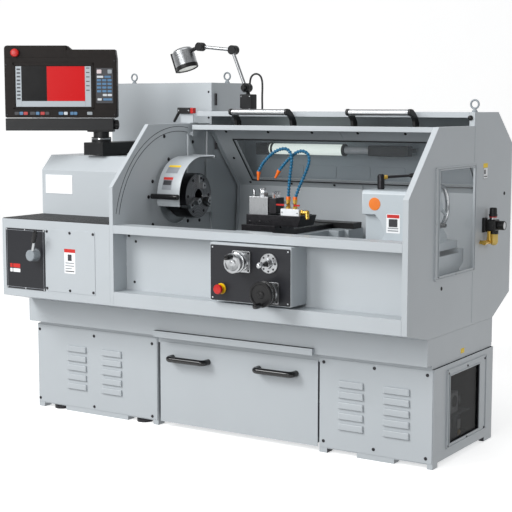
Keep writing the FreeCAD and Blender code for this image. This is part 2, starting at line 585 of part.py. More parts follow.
def build_enclosure():
    """The two end panels, the folded front and the rear guard."""
    left_outline = [("front", "apron_bottom"), ("front", "shoulder"), ("brow", "roof"),
                    ("electrical_front", "roof"), ("electrical_front", "tray_top"), ("tray_front", "tray_top")]
    rim = "door_flange"
    left_inner = [(f"front + {rim}", f"apron_bottom + {rim}"), (f"front + {rim}", f"shoulder - 8"),
                  (f"brow + 8", f"roof - {rim}"), (f"electrical_front - {rim}", f"roof - {rim}"),
                  (f"electrical_front - {rim}", f"tray_top + {rim}"), (f"tray_front + 8", f"tray_top + {rim}")]
    left = prism("left_wall_outer", "YZ", left_outline, "wall_start", "wall_end")
    left_pocket = prism("left_wall_pocket", "YZ", left_inner, "wall_start", "wall_end - skin")
    opening = rod("spindle_opening", "X", ("wall_start", "spindle_y", "spindle_z"), "130",
                  "wall_end - wall_start")
    bed_slot = box("left_bed_slot", ("wall_start", "wall_end"), ("bed_front - 2", "bed_rear + 2"),
                   ("tray_top", "bed_top + 2"))
    wall = cut("left_wall_sheet", left, [left_pocket, opening, bed_slot])
    pin = rod("guard_pin", "X", ("wall_end - skin", "guard_hinge_y", "spindle_z + guard_radius - 4"), "4",
              "guard_end - wall_end + skin + 2")
    node("left_end_wall", fuse("left_end_wall", [wall, pin]))

    right_outline = [("tray_front", "tray_top"), ("front", "apron_bottom"), ("front", "shoulder"),
                     ("brow", "roof"), ("canopy_front", "roof"), ("canopy_front", "canopy_top"),
                     ("canopy_rear", "canopy_top"), ("back", "back_top"), ("back", "back_bottom"),
                     ("tray_rear", "tray_top")]
    right_inner = [("tray_front + 8", f"tray_top + {rim}"), (f"front + {rim}", f"apron_bottom + {rim}"),
                   (f"front + {rim}", "shoulder - 8"), ("brow + 8", f"roof - {rim}"),
                   (f"canopy_front + {rim}", f"roof - {rim}"), (f"canopy_front + {rim}", f"canopy_top - {rim}"),
                   ("canopy_rear - 8", f"canopy_top - {rim}"), (f"back - {rim}", "back_top - 10"),
                   (f"back - {rim}", "back_bottom + 14"), ("tray_rear - 4", f"tray_top + {rim}")]
    right = prism("right_panel_outer", "YZ", right_outline, "panel_start", "enclosure_end")
    right_pocket = prism("right_panel_pocket", "YZ", right_inner, "panel_start", "enclosure_end - skin")
    window_y = ("side_window_front", "side_window_rear")
    window_z = ("side_window_bottom", "side_window_top")
    window = box("side_window_hole", ("panel_start", "enclosure_end + 5"), window_y, window_z)
    border = box("side_window_border", ("enclosure_end", "enclosure_end + skin"),
                 ("side_window_front - 35", "side_window_rear + 15"),
                 ("side_window_bottom - 13", "side_window_top + 11"))
    node("right_end_panel", cut("right_end_panel", fuse("right_panel_blank", [
        cut("right_panel_sheet", right, [right_pocket]), border]), [window]))

    panes = [box("side_pane", ("enclosure_end - skin - pane", "enclosure_end - skin"),
                 ("side_window_front - 12", "side_window_rear + 12"),
                 ("side_window_bottom - 12", "side_window_top + 12")),
             box("cabinet_pane", ("right_cabinet_end - skin - pane", "right_cabinet_end - skin"),
                 ("hatch_front - 12", "hatch_rear + 12"), ("hatch_bottom - 12", "hatch_top + 12"))]
    node("window_panes", group("window_panes", panes))

    front = folded("front_frame", [("tray_front", "tray_top"), ("front", "apron_bottom"),
                                   ("front", "recess_bottom"), ("recess_face", "recess_bottom"),
                                   ("recess_face", "recess_top"), ("front", "recess_top"), ("front", "sill"),
                                   ("recess_face", "sill"), ("recess_face", "sill - 12")],
                   "wall_end", "panel_start")
    node("front_frame", front)

    guard = folded("rear_guard", [("canopy_front", "roof + 33"), ("canopy_front", "canopy_top"),
                                  ("canopy_rear", "canopy_top"), ("back", "back_top"), ("back", "back_bottom"),
                                  ("tray_rear", "tray_top")], "electrical_end", "panel_start")
    node("rear_guard", guard)

    lamp_body = rod("lamp_glass", "X", ("-135", "tube_y", "tube_z"), "tube_radius", "650")
    caps = [box("lamp_left_cap", (-205, -135), ("tube_y - 28", "tube_y + 28"), ("tube_z - 28", "tube_z + 28")),
            box("lamp_right_cap", (515, 590), ("tube_y - 24", "tube_y + 24"), ("tube_z - 24", "tube_z + 24"))]
    clips = []
    for index, x in enumerate((-185, 545)):
        clips.append(box(f"lamp_clip_{index}", (x, x + 30), ("tube_y + 20", "back - skin"),
                         ("tube_z - 10", "tube_z + 10")))
    node("tube_lamp", fuse("tube_lamp", [lamp_body] + caps + clips))


def build_door():
    """The roll-over front door: drawn closed about its hinge, then swung back to its open place."""
    global origin
    profile = [("front", "sill + gap"), ("front", "shoulder"), ("brow", "roof"), ("canopy_front - 4", "roof")]
    relative = [(f"{y} - hinge_y", f"{z} - hinge_z") for y, z in profile]
    relative.insert(0, ("front - hinge_y + door_flange", "sill + gap - hinge_z"))
    origin = HINGE
    sheet_part = folded("door_sheet", relative, "door_start", "door_end")
    cheeks = [folded("door_left_cheek", relative, "door_start", "door_start + skin", "door_flange"),
              folded("door_right_cheek", relative, "door_end - skin", "door_end", "door_flange")]
    slope = "atan((roof - shoulder) / (brow - front))"
    corner_y = "front - hinge_y"
    corner_z = "shoulder - hinge_z"

    def on_slope(name, x, along, depth, thickness):
        item = doc.addObject("Part::Box", name)
        bind(item, "Length", f"({x[1]}) - ({x[0]})")
        bind(item, "Width", f"({along[1]}) - ({along[0]})")
        bind(item, "Height", thickness)
        item.Placement = FreeCAD.Placement(Vector(), FreeCAD.Rotation(Vector(1, 0, 0), 45))
        bind(item, "Placement.Rotation.Angle", slope)
        place(item, x[0], f"{corner_y} + ({along[0]}) * cos({slope}) + ({depth}) * sin({slope})",
              f"{corner_z} + ({along[0]}) * sin({slope}) - ({depth}) * cos({slope})")
        return item

    window_x = ("door_start + window_margin", "door_end - window_margin")
    hole = on_slope("door_window_hole", window_x, ("window_inset", "window_inset + window_width"), "20", "40")
    shell = cut("door_sheet_cut", fuse("door_blank", [sheet_part] + cheeks), [hole])
    runners = []
    for side, inner, pin in (("left", ("door_start", "door_start + skin"), ("wall_end + gap", "door_start + skin")),
                             ("right", ("door_end - skin", "door_end"),
                              ("door_end - skin", "enclosure_end - skin - gap"))):
        runners.append(box(f"door_{side}_tab", inner, ("-runner_reach - 26", "-runner_reach + 12"),
                           ("runner_height - 16", "runner_height + 16")))
        runners.append(rod(f"door_{side}_runner", "X", (pin[0], "-runner_reach", "runner_height"), "10",
                           f"({pin[1]}) - ({pin[0]})"))
    shell = fuse("door_shell", [shell] + runners)
    pane = on_slope("door_pane", ("door_start + window_margin - 14", "door_end - window_margin + 14"),
                    ("window_inset - 14", "window_inset + window_width + 14"), "skin + pane", "pane")
    window = group("door_window", [pane])
    handles = []
    for index, low in enumerate((-99, 491)):
        high = low + 275
        grip = rod(f"door_grip_{index}", "X", (str(low), "-529", "12"), "13", str(high - low))
        handles.append(grip)
        for end, start in (("left", low - 14), ("right", high)):
            outline = [("front - hinge_y", "52"), ("front - hinge_y", "92"), ("-494", "88"), ("-538", "36"),
                       ("-546", "20"), ("-546", "-4"), ("-514", "-4"), ("-514", "22"), ("-496", "46")]
            handles.append(prism(f"door_bracket_{index}_{end}", "YZ", outline, str(start), str(start + 14)))
    handle_set = group("door_handles", handles)
    origin = MACHINE
    for label, item in (("door_shell", shell), ("door_window", window), ("door_handles", handle_set)):
        item.Placement = FreeCAD.Placement(Vector(), FreeCAD.Rotation(Vector(1, 0, 0), -1))
        bind(item, "Placement.Rotation.Angle", "-door_open")
        bind(item, "Placement.Base.x", "-datum_x")
        bind(item, "Placement.Base.y", "hinge_y - datum_y")
        bind(item, "Placement.Base.z", "hinge_z")
        node(label, item)


def build_chuck_guard():
    """The curved guard over the chuck, with its hinge sleeve and its bow handle."""
    length = "guard_end - guard_start"
    axis = ("guard_start", "spindle_y", "spindle_z")
    ring = tube("guard_ring", "X", axis, "guard_radius", "guard_radius - 2", length)
    keep = prism("guard_sector", "YZ",
                 [("spindle_y", "spindle_z"), ("spindle_y", "spindle_z + 300"), ("spindle_y - 300", "spindle_z + 300"),
                  ("spindle_y - 300", "spindle_z - 70")], "guard_start", "guard_end")
    arc = doc.addObject("Part::Common", "guard_arc")
    arc.Base = ring
    arc.Tool = keep
    flat = box("guard_flat", ("guard_start", "guard_end"), ("spindle_y", "guard_hinge_y"),
               ("spindle_z + guard_radius - 2", "spindle_z + guard_radius"))
    knuckle = rod("guard_knuckle", "X", ("guard_start", "guard_hinge_y", "spindle_z + guard_radius - 4"), "8", length)
    bore = rod("guard_knuckle_bore", "X", ("guard_start", "guard_hinge_y", "spindle_z + guard_radius - 4"), "4.05",
               length)
    grip = rod("guard_grip", "X", ("guard_start - 6", "spindle_y - guard_radius - 30", "spindle_z + 5"), "12",
               "guard_end - guard_start + 20")
    posts = []
    for index, x in enumerate(("guard_start + 12", "guard_end - 12")):
        posts.append(rod(f"guard_post_{index}", "Y", (x, "spindle_y - guard_radius - 30", "spindle_z + 5"), "7",
                         "31"))
    sheet_part = cut("guard_sheet", fuse("guard_blank", [arc, flat, knuckle]), [bore])
    node("chuck_guard", fuse("chuck_guard", [sheet_part, grip] + posts))


def build_carriage():
    """The saddle on the bed, the cross slide with its tools, and the coolant hoses and valves."""
    half = "saddle_length / 2"
    saddle = box("saddle_plate", (f"carriage_x - {half}", f"carriage_x + {half}"), ("-250", "150"),
                 ("bed_top + gap", "saddle_top"))
    rear_arm = box("saddle_rear_arm", ("carriage_x - 60", "carriage_x + 175"), ("150", "340"),
                   ("bed_top + gap", "saddle_top"))
    drop = box("saddle_apron", (f"carriage_x - {half}", f"carriage_x + {half}"), ("-254", "bed_front - gap"),
               ("bed_top - 90", "saddle_top"))
    motor_box = box("cross_motor_box", ("carriage_x + 95", "carriage_x + 195"), ("205", "345"),
                    ("bed_top - 31", "saddle_top"))
    motor_cap = rod("cross_motor_cap", "Y", ("carriage_x + 128", "190", "bed_top + 8"), "22", "16")
    node("saddle", fuse("saddle", [saddle, rear_arm, drop, motor_box, motor_cap]))

    left = "carriage_x - slide_width / 2"
    right = "carriage_x + slide_width / 2"
    cover = box("slide_cover", (left, right), ("slide_front", "250"), ("saddle_top + gap", "slide_top"))
    rear = box("slide_rear", (left, "carriage_x + 195"), ("250", "330"), ("saddle_top + gap", "slide_top + 8"))
    block = box("slide_block", (f"{left} + 14", right), ("slide_front + 14", "slide_front + 170"),
                ("slide_top", "block_top"))
    slots = [box(f"slide_slot_{index}", (f"{left} + 14", right),
                 (f"slide_front + 14 + 42 + {index} * 60", f"slide_front + 14 + 54 + {index} * 60"),
                 ("block_top - 12", "block_top")) for index in range(2)]
    slide = cut("slide_body", fuse("slide_blank", [cover, rear, block]), slots)

    plate_outline = [("carriage_x - 53", "block_top"), ("carriage_x + 200", "block_top"),
                     ("carriage_x + 214", "plate_top - 4"), ("carriage_x + 214", "plate_top"),
                     ("carriage_x - 53", "plate_top")]
    plate = prism("tool_plate", "XZ", plate_outline, "tool_front - 6", "tool_front + tool_size + 34")
    node("cross_slide", group("cross_slide", [slide, plate]))

    tool_x = "(carriage_x - 42)"
    tool_y = "tool_front"
    post = box("post_block", (tool_x, f"{tool_x} + tool_size"), (tool_y, f"{tool_y} + tool_size"),
               ("plate_top", "tool_top"))
    centre = (f"{tool_x} + tool_size / 2", f"{tool_y} + tool_size / 2", "tool_top")
    nut = rod("post_nut", "Z", centre, "15", "24")
    stud = rod("post_stud", "Z", centre, "9", "34")
    holder = box("tool_holder", (f"{tool_x} + tool_size", f"{tool_x} + tool_size + 36"),
                 (f"{tool_y} + 6", f"{tool_y} + 74"), ("plate_top + 6", "tool_top - 4"))
    screws = []
    for index in range(3):
        screws.append(rod(f"holder_screw_{index}", "Z",
                          (f"{tool_x} + tool_size + 18", f"{tool_y} + 18 + {index} * 22", "tool_top - 4"), "6", "26"))
    bar = box("tool_bar", (f"{tool_x} + tool_size + 10", f"{tool_x} + tool_size + 30"),
              (f"{tool_y} + 74", f"{tool_y} + 104"), ("spindle_z - 20", "spindle_z"))
    studs = []
    for index, (x, y) in enumerate(((16, 16), (16, 70))):
        studs.append(rod(f"post_screw_{index}", "Z", (f"{tool_x} + {x}", f"{tool_y} + {y}", "tool_top"), "7", "28"))
    node("tool_post", fuse("tool_post", [post, nut, stud, holder, bar] + screws + studs))

    manifold_x = ("carriage_x + 112", "carriage_x + 200")
    manifold_y = ("tool_front + 2", "tool_front + 44")
    valve_y = "tool_front + 22"
    manifold = box("manifold_block", manifold_x, manifold_y, ("plate_top", "plate_top + 29"))
    pieces = [manifold]
    for index, x in enumerate(("carriage_x + 138", "carriage_x + 171")):
        pieces.append(rod(f"valve_body_{index}", "Z", (x, valve_y, "plate_top + 29"), "9", "38"))
        pieces.append(rod(f"valve_nose_{index}", "Y", (x, f"{valve_y} - 17", "plate_top + 45"), "6.5", "17"))
    pieces.append(rod("elbow_stub", "X", ("carriage_x + 200", valve_y, "plate_top + 14"), "11", "30"))
    elbow = Vector(size["carriage_x"] + 228, size["tool_front"] + 22, size["plate_top"] + 18)
    pieces.append(made("elbow_tail", slanted_rod(elbow, elbow + Vector(5, -6, -30), 9, 8)))
    node("coolant_manifold", fuse("coolant_manifold", pieces))
    for index, (x, side) in enumerate((("carriage_x + 138", -1), ("carriage_x + 171", 1))):
        hub = rod(f"lever_hub_{index}", "Y", (x, f"{valve_y} - 17 - gap - 6", "plate_top + 45"), "7", "6")
        arm_x = (x, f"{x} + 34") if side > 0 else (f"{x} - 46", x)
        arm = box(f"lever_arm_{index}", arm_x, (f"{valve_y} - 17 - gap - 5", f"{valve_y} - 17 - gap - 1"),
                  ("plate_top + 40", "plate_top + 50"))
        node(f"valve_lever_{index + 1}", fuse(f"valve_lever_{index + 1}", [hub, arm]))

    # Points of each hose's middle line from its valve to its nozzle, chosen by hand: along X from the
    # carriage's middle, in front of (-) or behind (+) the valve, and above the tool plate.
    routes = [[(138, 0, 70), (142, -3, 108), (148, -8, 146), (156, -11, 190), (162, -12, 232), (156, -12, 264),
               (132, -12, 280), (98, -12, 274), (64, -12, 256), (34, -12, 230), (12, -12, 204), (0, -12, 180)],
              [(171, 0, 70), (180, 3, 102), (193, 8, 134), (208, 11, 166), (222, 12, 198), (232, 12, 230),
               (226, 12, 258), (200, 12, 271), (170, 12, 264), (142, 12, 243), (114, 11, 217), (89, 8, 187)]]
    tips = [(-3, -12, 144), (70, 7, 154)]
    start = Vector(size["carriage_x"], size["tool_front"] + 22, size["plate_top"])
    hoses = []
    for index, (route, tip) in enumerate(zip(routes, tips)):
        points = [start + Vector(*point) for point in route]
        hose = made(f"hose_{index}", round_path(points, size["hose_radius"], f"coolant hose {index + 1}"))
        collar = made(f"hose_collar_{index}", Part.makeCylinder(size["hose_radius"] + 3, 12,
                                                                points[0] - Vector(0, 0, 3)))
        nozzle = made(f"nozzle_{index}", slanted_rod(points[-1], start + Vector(*tip), 9, 4.5))
        hoses.append(fuse(f"coolant_hose_{index + 1}", [hose, collar, nozzle]))
    node("coolant_hoses", group("coolant_hoses", hoses))


def round_path(points, radius, label):
    """A round tube along straight runs joined by tangent arcs, each 0.45 of its shorter run."""
    edges = []
    start = points[0]
    radii = []
    for before, corner, after in zip(points, points[1:], points[2:]):
        inward = (before - corner).normalize()
        outward = (after - corner).normalize()
        half_turn = (math.pi - inward.getAngle(outward)) / 2
        reach = 0.45 * min((corner - before).Length, (after - corner).Length)
        arc_radius = reach / math.tan(half_turn)
        radii.append(round(arc_radius, 1))
        first = corner + inward * reach
        last = corner + outward * reach
        bisector = (inward + outward).normalize()
        middle = corner + bisector * (arc_radius / math.cos(half_turn) - arc_radius)
        edges.append(Part.LineSegment(start, first).toShape())
        edges.append(Part.Arc(first, middle, last).toShape())
        start = last
    edges.append(Part.LineSegment(start, points[-1]).toShape())
    path = Part.Wire(edges)
    section = Part.Wire([Part.makeCircle(radius, points[0], points[1] - points[0])])
    swept = path.makePipeShell([section], True, False)
    expected = math.pi * radius ** 2 * path.Length
    print(f"{label}: length {path.Length:.0f}, radii {radii}, volume ratio {swept.Volume / expected:.4f}")
    return swept


def build_tailstock():
    """The tailstock on the bed, with its quill, handwheel and clamp lever."""
    front = "(spindle_y - tailstock_half)"
    rear = "(spindle_y + tailstock_half)"
    barrel = prism("tailstock_barrel", "YZ",
                   [(front, "spindle_z - 40"), (front, "spindle_z + 48"), (f"{front} + 12", "spindle_z + 60"),
                    (f"{rear} - 12", "spindle_z + 60"), (rear, "spindle_z + 48"), (rear, "spindle_z - 40")],
                   "tailstock_start", "tailstock_end")
    neck = prism("tailstock_neck", "XZ",
                 [("tailstock_start + 61", "spindle_z - 40"), ("tailstock_start + 82", "spindle_z - 66"),
                  ("tailstock_start + 104", "spindle_z - 119"), ("tailstock_start + 88", "spindle_z - 145"),
                  ("tailstock_start + 84", "bed_top + gap"), ("tailstock_end + 40", "bed_top + gap"),
                  ("tailstock_end + 40", "spindle_z - 119"), ("tailstock_end", "spindle_z - 60"),
                  ("tailstock_end", "spindle_z - 40")], front, rear)
    web = box("tailstock_web", ("tailstock_start + 4", "tailstock_start + 110"), (f"{front} + 26", f"{rear} - 10"),
              ("bed_top + gap", "spindle_z - 40"))
    base = box("tailstock_base", ("tailstock_start + 84", "tailstock_end + 60"), ("bed_front + 9", "bed_rear - 14"),
               ("bed_top + gap", "bed_top + 34"))
    axis = ("tailstock_start", "spindle_y", "spindle_z")
    length = "tailstock_end - tailstock_start"
    bores = [rod("tailstock_bore", "X", axis, "quill_radius + 0.05", f"{length} - 8"),
             rod("tailstock_screw_bore", "X", axis, "tail_screw_radius + gap", length)]
    node("tailstock_body", cut("tailstock_body", fuse("tailstock_blank", [barrel, neck, web, base]), bores))

    quill_length = "(tailstock_end - tailstock_start - 24)"
    quill = turned("tailstock_quill",
                   [("0", "socket_radius"), ("socket_depth", "socket_radius"),
                    ("socket_depth", "tail_screw_radius + gap"), (quill_length, "tail_screw_radius + gap"),
                    (quill_length, "quill_radius"), ("6", "quill_radius"), ("0", "quill_radius - 6")],
                   ("tailstock_start - 6", "spindle_y", "spindle_z"))
    node("tailstock_quill", quill)

    wheel_x = "(tailstock_end + gap)"
    rim = doc.addObject("Part::Torus", "tail_wheel_rim")
    bind(rim, "Radius1", "tail_wheel_radius")
    bind(rim, "Radius2", "10")
    rim.Placement = FreeCAD.Placement(Vector(), AXES["X"])
    place(rim, f"{wheel_x} + 36", "spindle_y", "spindle_z")
    hub = rod("tail_wheel_hub", "X", (wheel_x, "spindle_y", "spindle_z"), "24", "44")
    spokes = []
    for index in range(3):
        angle = math.radians(90 + 120 * index)
        out = Vector(0, math.cos(angle), math.sin(angle)) * size["tail_wheel_radius"]
        middle = Vector(size["tailstock_end"] + 36, size["spindle_y"], size["spindle_z"])
        spokes.append(made(f"tail_spoke_{index}", slanted_rod(middle, middle + out, 8, 6)))
    crank = rod("tail_wheel_crank", "X", (f"{wheel_x} + 36", "spindle_y - tail_wheel_radius * cos(60)",
                                          "spindle_z - tail_wheel_radius * sin(60)"), "9", "52")
    screw = rod("tail_screw", "X", ("tailstock_end - 60", "spindle_y", "spindle_z"), "tail_screw_radius", "66")
    node("tailstock_wheel", fuse("tailstock_wheel", [rim, hub, crank, screw] + spokes))

    lever_base = Vector(size["tailstock_start"] + 48, size["spindle_y"], size["spindle_z"] + 60 + size["gap"])
    post = made("clamp_post", slanted_rod(lever_base, lever_base + Vector(0, 0, 62), 15))
    reach = Vector(math.cos(math.radians(30)), math.sin(math.radians(30)), 0.07) * 150
    start = lever_base + Vector(0, 0, 48)
    arm = made("clamp_arm", slanted_rod(start, start + reach, 6, 5))
    grip = made("clamp_grip", slanted_rod(start + reach * 0.8, start + reach * 1.1, 9, 11))
    node("tailstock_clamp_lever", fuse("tailstock_clamp_lever", [post, arm, grip]))


def build_controls():
    """The control box in the front recess with its handwheels, jog lever and stop button."""
    casing = shell_box("control_box", ("box_start", "box_end"), ("box_front", "recess_face"),
                       ("box_bottom", "box_top"), "rear", "2")
    node("control_box", casing)
    face = "(box_front - skin)"
    plate = box("control_face", ("box_start + 3", "box_end - 3"), (face, "box_front"),
                ("box_bottom + 3", "box_top - 8"))
    pieces = [plate]
    half = "flange_size / 2"
    # Each handwheel's middle, its radius and where its crank handle stands, as an angle from the right.
    wheels = {"z": (317, 803, 40, 78), "x": (449, 688, 51, -80)}
    for letter, (x, z, radius, angle) in wheels.items():
        pieces.append(box(f"{letter}_flange", (f"{x} - {half}", f"{x} + {half}"), (f"{face} - 8", face),
                          (f"{z} - {half}", f"{z} + {half}")))
        pieces.append(rod(f"{letter}_boss", "Y", (str(x), f"{face} - 8 - boss_length", str(z)), "34", "boss_length"))
    pieces.append(rod("jog_flange", "Y", ("444", f"{face} - 6", "803"), "40", "6"))
    pieces.append(rod("jog_boss", "Y", ("444", f"{face} - 16", "803"), "17", "10"))
    pieces.append(tube("stop_ring", "Y", ("219", f"{face} - 6", "687"), "22", "9", "6"))
    socket = rod("jog_socket", "Y", ("444", f"{face} - 16", "803"), "jog_pivot_radius + gap", "18")
    node("control_plate", cut("control_plate", fuse("control_plate_blank", pieces), [socket]))
    for letter, (x, z, radius, angle) in wheels.items():
        back = f"({face} - 8 - boss_length - gap)"
        disc = rod(f"{letter}_disc", "Y", (str(x), f"{back} - wheel_width", str(z)), str(radius), "wheel_width")
        reach = radius - 12
        crank = rod(f"{letter}_crank", "Y", (f"{x} + {reach} * cos({angle})", f"{back} - wheel_width - crank_length",
                                             f"{z} + {reach} * sin({angle})"), "10", "crank_length")
        node(f"{letter}_handwheel", fuse(f"{letter}_handwheel", [disc, crank]))
    pivot = Vector(444, size["box_front"] - size["skin"] - 10, 803)
    tip = pivot + Vector(-2, -58, -1)
    joint = Part.makeSphere(size["jog_pivot_radius"], pivot)
    sleeve = slanted_rod(pivot + Vector(0, -9, 0), pivot + Vector(0, -30, 0), 10, 8)
    stick = slanted_rod(pivot + Vector(0, -28, 0), tip, 5)
    lever_parts = [made("jog_joint", joint), made("jog_sleeve", sleeve), made("jog_stick", stick),
                   made("jog_ball", Part.makeSphere(13, tip))]
    node("jog_lever", fuse("jog_lever", lever_parts))
    stem = rod("stop_stem", "Y", ("219", f"{face} - 22", "687"), "9 - gap", "16 - gap")
    cap = rod("stop_cap", "Y", ("219", f"{face} - 34", "687"), "20", "14")
    node("panel_stop_button", fuse("panel_stop_button", [stem, cap]))


def build_drawer():
    """The chip and coolant drawer between the cabinets, with its two bow handles."""
    tub = shell_box("drawer_tub", ("drawer_start + 12", "drawer_end - 12"), ("cabinet_front + 1", "drawer_rear"),
                    ("drawer_bottom + 8", "drawer_top - 10"), "top", "2")
    front = box("drawer_front", ("drawer_start", "drawer_end"), ("cabinet_front - 2", "cabinet_front + 1"),
                ("drawer_bottom", "drawer_top"))
    tub_and_front = fuse("drawer_tub_and_front", [tub, front])
    handles = [bow_handle(f"drawer_handle_{index}", (str(low), str(high)), "(cabinet_front - 2)",
                          "drawer_handle_z", "handle_standoff", "13")
               for index, (low, high) in enumerate(((-228, -13), (220, 428)))]
    node("drawer", group("drawer", [tub_and_front] + handles))


def build_pendant():
    """The fixed bracket, the swinging arm and the pendant on it, turned to face the operator."""
    bracket = box("bracket_beam", ("pivot_x - 56", "pivot_x + 56"), ("pivot_y - 60", "electrical_front"),
                  ("cover_top + 4", "1248"))
    foot = box("bracket_foot", ("pivot_x - 70", "pivot_x + 70"), ("-60", "120"), ("cover_top", "cover_top + 4"))
    ring = rod("bracket_ring", "Z", ("pivot_x", "pivot_y", "1248"), "45", "24")
    node("pendant_bracket", fuse("pendant_bracket", [bracket, foot, ring]))

    turn = FreeCAD.Rotation(Vector(0, 0, 1), size["pendant_turn"])
    pivot = Vector(size["pivot_x"], size["pivot_y"], 0)

    def swung(name, x, y, z):
        """A block placed along the pendant's own width, depth and height from the pivot."""
        block = Part.makeBox(x[1] - x[0], y[1] - y[0], z[1] - z[0], Vector(x[0], y[0], z[0]))
        return made(name, moved(block))

    def moved(shape):
        shape.Placement = FreeCAD.Placement(pivot, turn).multiply(shape.Placement)
        return shape

    gap = size["gap"]
    width = size["pendant_width"]
    right = 78
    left = right - width
    low = size["pendant_bottom"]
    high = size["pendant_top"]
    disc = made("arm_disc", moved(Part.makeCylinder(36, 24, Vector(0, 0, 1272 + gap), Vector(0, 0, 1))))
    beam = swung("arm_beam", (left, right - 18), (-34, 34), (1302, 1358))
    pad = swung("arm_pad", (-60, right - 18), (-36, 36), (1296 + gap, 1304))
    knob = made("arm_knob", moved(Part.makeCylinder(15, 22, Vector(right - 18, 0, 1329), Vector(1, 0, 0))))
    node("pendant_arm", fuse("pendant_arm", [disc, beam, pad, knob]))

    front = -44
    rear = 34
    outline = [Vector(left, front, low), Vector(right, front, low), Vector(right, front, high - 60),
               Vector(right - 6, front, high - 18), Vector(left + 305, front, high - 18),
               Vector(left + 285, front, high), Vector(left + 8, front, high), Vector(left, front, high - 60)]
    face = Part.Face(Part.makePolygon(outline + outline[:1]))
    housing = face.extrude(Vector(0, rear - front, 0))
    screen_box = (left + 36, left + 392, low + 44, low + 252)
    recess = Part.makeBox(screen_box[1] - screen_box[0], 6, screen_box[3] - screen_box[2],
                          Vector(screen_box[0], front, screen_box[2]))
    stop = (left + 52, high - 34)
    stop_hole = Part.makeCylinder(9, 14, Vector(stop[0], front, stop[1]), Vector(0, 1, 0))
    housing = housing.cut(recess).cut(stop_hole)
    hinge = Part.makeBox(120, 40, low - 1358 - gap, Vector(-200, -20, 1358 + gap))
    casing = made("pendant_casing", moved(housing.fuse(hinge)))
    screen = Part.makeBox(screen_box[1] - screen_box[0], 4, screen_box[3] - screen_box[2],
                          Vector(screen_box[0], front + 2, screen_box[2]))
    node("pendant", group("pendant", [casing, made("pendant_glass", moved(screen))]))
    stem = Part.makeCylinder(9 - gap, 12, Vector(stop[0], front - 4, stop[1]), Vector(0, 1, 0))
    cap = Part.makeCylinder(19, 16, Vector(stop[0], front - 20, stop[1]), Vector(0, 1, 0))
    node("pendant_stop_button", made("pendant_stop_button", moved(stem.fuse(cap))))


def build_work_lamp():
    """The jointed work lamp on the rear canopy, and the lead that feeds it."""
    x = size["lamp_x"]
    y = size["lamp_y"]
    top = size["canopy_top"]
    gap = size["gap"]
    base = box("lamp_block", ("lamp_x - 31", "lamp_x + 31"), ("lamp_y - 26", "lamp_y + 26"),
               ("canopy_top", "canopy_top + 78"))
    stub = rod("lamp_stub", "Z", ("lamp_x - 8", "lamp_y + gap + 10", "canopy_top + 78"), "9", "14")
    fork = rod("lamp_fork", "Y", ("lamp_x - 8", "lamp_y + gap", "canopy_top + 108"), "21", "20")
    gland = rod("lamp_gland", "Z", ("lamp_x - 8", "lamp_y + 26", "canopy_top + 96"), "7", "22")
    node("lamp_base", fuse("lamp_base", [base, stub, fork, gland]))
    knuckle = Vector(x - 8, y, top + 108)
    elbow = Vector(x - 82, y, top + 282)
    head = Vector(x - 268, y, top + 301)
    lower = slanted_rod(knuckle + Vector(0, -10, 0), elbow + Vector(0, -10, 0), 8)
    lower_joint = Part.makeCylinder(21, 20, knuckle + Vector(0, -20, 0), Vector(0, 1, 0))
    lower_elbow = Part.makeCylinder(22, 20, elbow + Vector(0, -20, 0), Vector(0, 1, 0))
    knob = Part.makeCylinder(14, 16, knuckle + Vector(0, -36, 0), Vector(0, 1, 0))
    lower_parts = [made("lamp_lower_rod", lower), made("lamp_lower_joint", lower_joint),
                   made("lamp_lower_elbow", lower_elbow), made("lamp_lower_knob", knob)]
    node("lamp_lower_arm", fuse("lamp_lower_arm", lower_parts))
    upper = slanted_rod(elbow + Vector(0, 10 + gap, 0), head + Vector(0, 10 + gap, 0), 8)
    upper_elbow = Part.makeCylinder(22, 20, elbow + Vector(0, gap, 0), Vector(0, 1, 0))
    upper_head = Part.makeCylinder(21, 20, head + Vector(0, gap, 0), Vector(0, 1, 0))
    upper_parts = [made("lamp_upper_rod", upper), made("lamp_upper_elbow", upper_elbow),
                   made("lamp_upper_head", upper_head)]
    node("lamp_upper_arm", fuse("lamp_upper_arm", upper_parts))
    tilt = math.radians(20)
    down = Vector(math.sin(tilt), 0, -math.cos(tilt))
    across = Vector(-math.cos(tilt), 0, -math.sin(tilt))
    crown = head + Vector(-14, -10, 22)
    shade_top = crown + across * 92
    shade_outer = Part.makeCylinder(53, 100, shade_top, down)
    shade_inner = Part.makeCylinder(50, 94, shade_top + down * 8, down)
    shade = shade_outer.cut(shade_inner)
    neck = Part.makeCylinder(20, 20, head + Vector(0, -20, 0), Vector(0, 1, 0))
    link = slanted_rod(head + Vector(0, -10, 0), head + Vector(0, -10, 0) + across * 46, 9)
    lens = Part.makeCylinder(50, 4, shade_top + down * 92, down)
    fork_arm = Part.makeBox(10, 34, 96, Vector(-5, -17, 0))
    fork_arm.Placement = FreeCAD.Placement(shade_top + across * 57 + down * 98, FreeCAD.Rotation(Vector(0, 1, 0), -20))
    head_parts = [made("lamp_shade", shade), made("lamp_neck", neck), made("lamp_link", link),
                  made("lamp_lens", lens), made("lamp_back_fork", fork_arm)]
    node("lamp_head", fuse("lamp_head", head_parts))

    # Points of the lead's middle line from the gland to the canopy, chosen by hand, from the lamp's base.
    route = [(-8, 118), (-8, 140), (2, 164), (26, 174), (50, 164), (60, 140), (61, 104), (59, 66), (60, 32), (60, 0)]
    lead = round_path([Vector(x + out, y + 26, top + up) for out, up in route], size["lead_radius"], "lamp lead")
    node("lamp_lead", made("lamp_lead", lead))


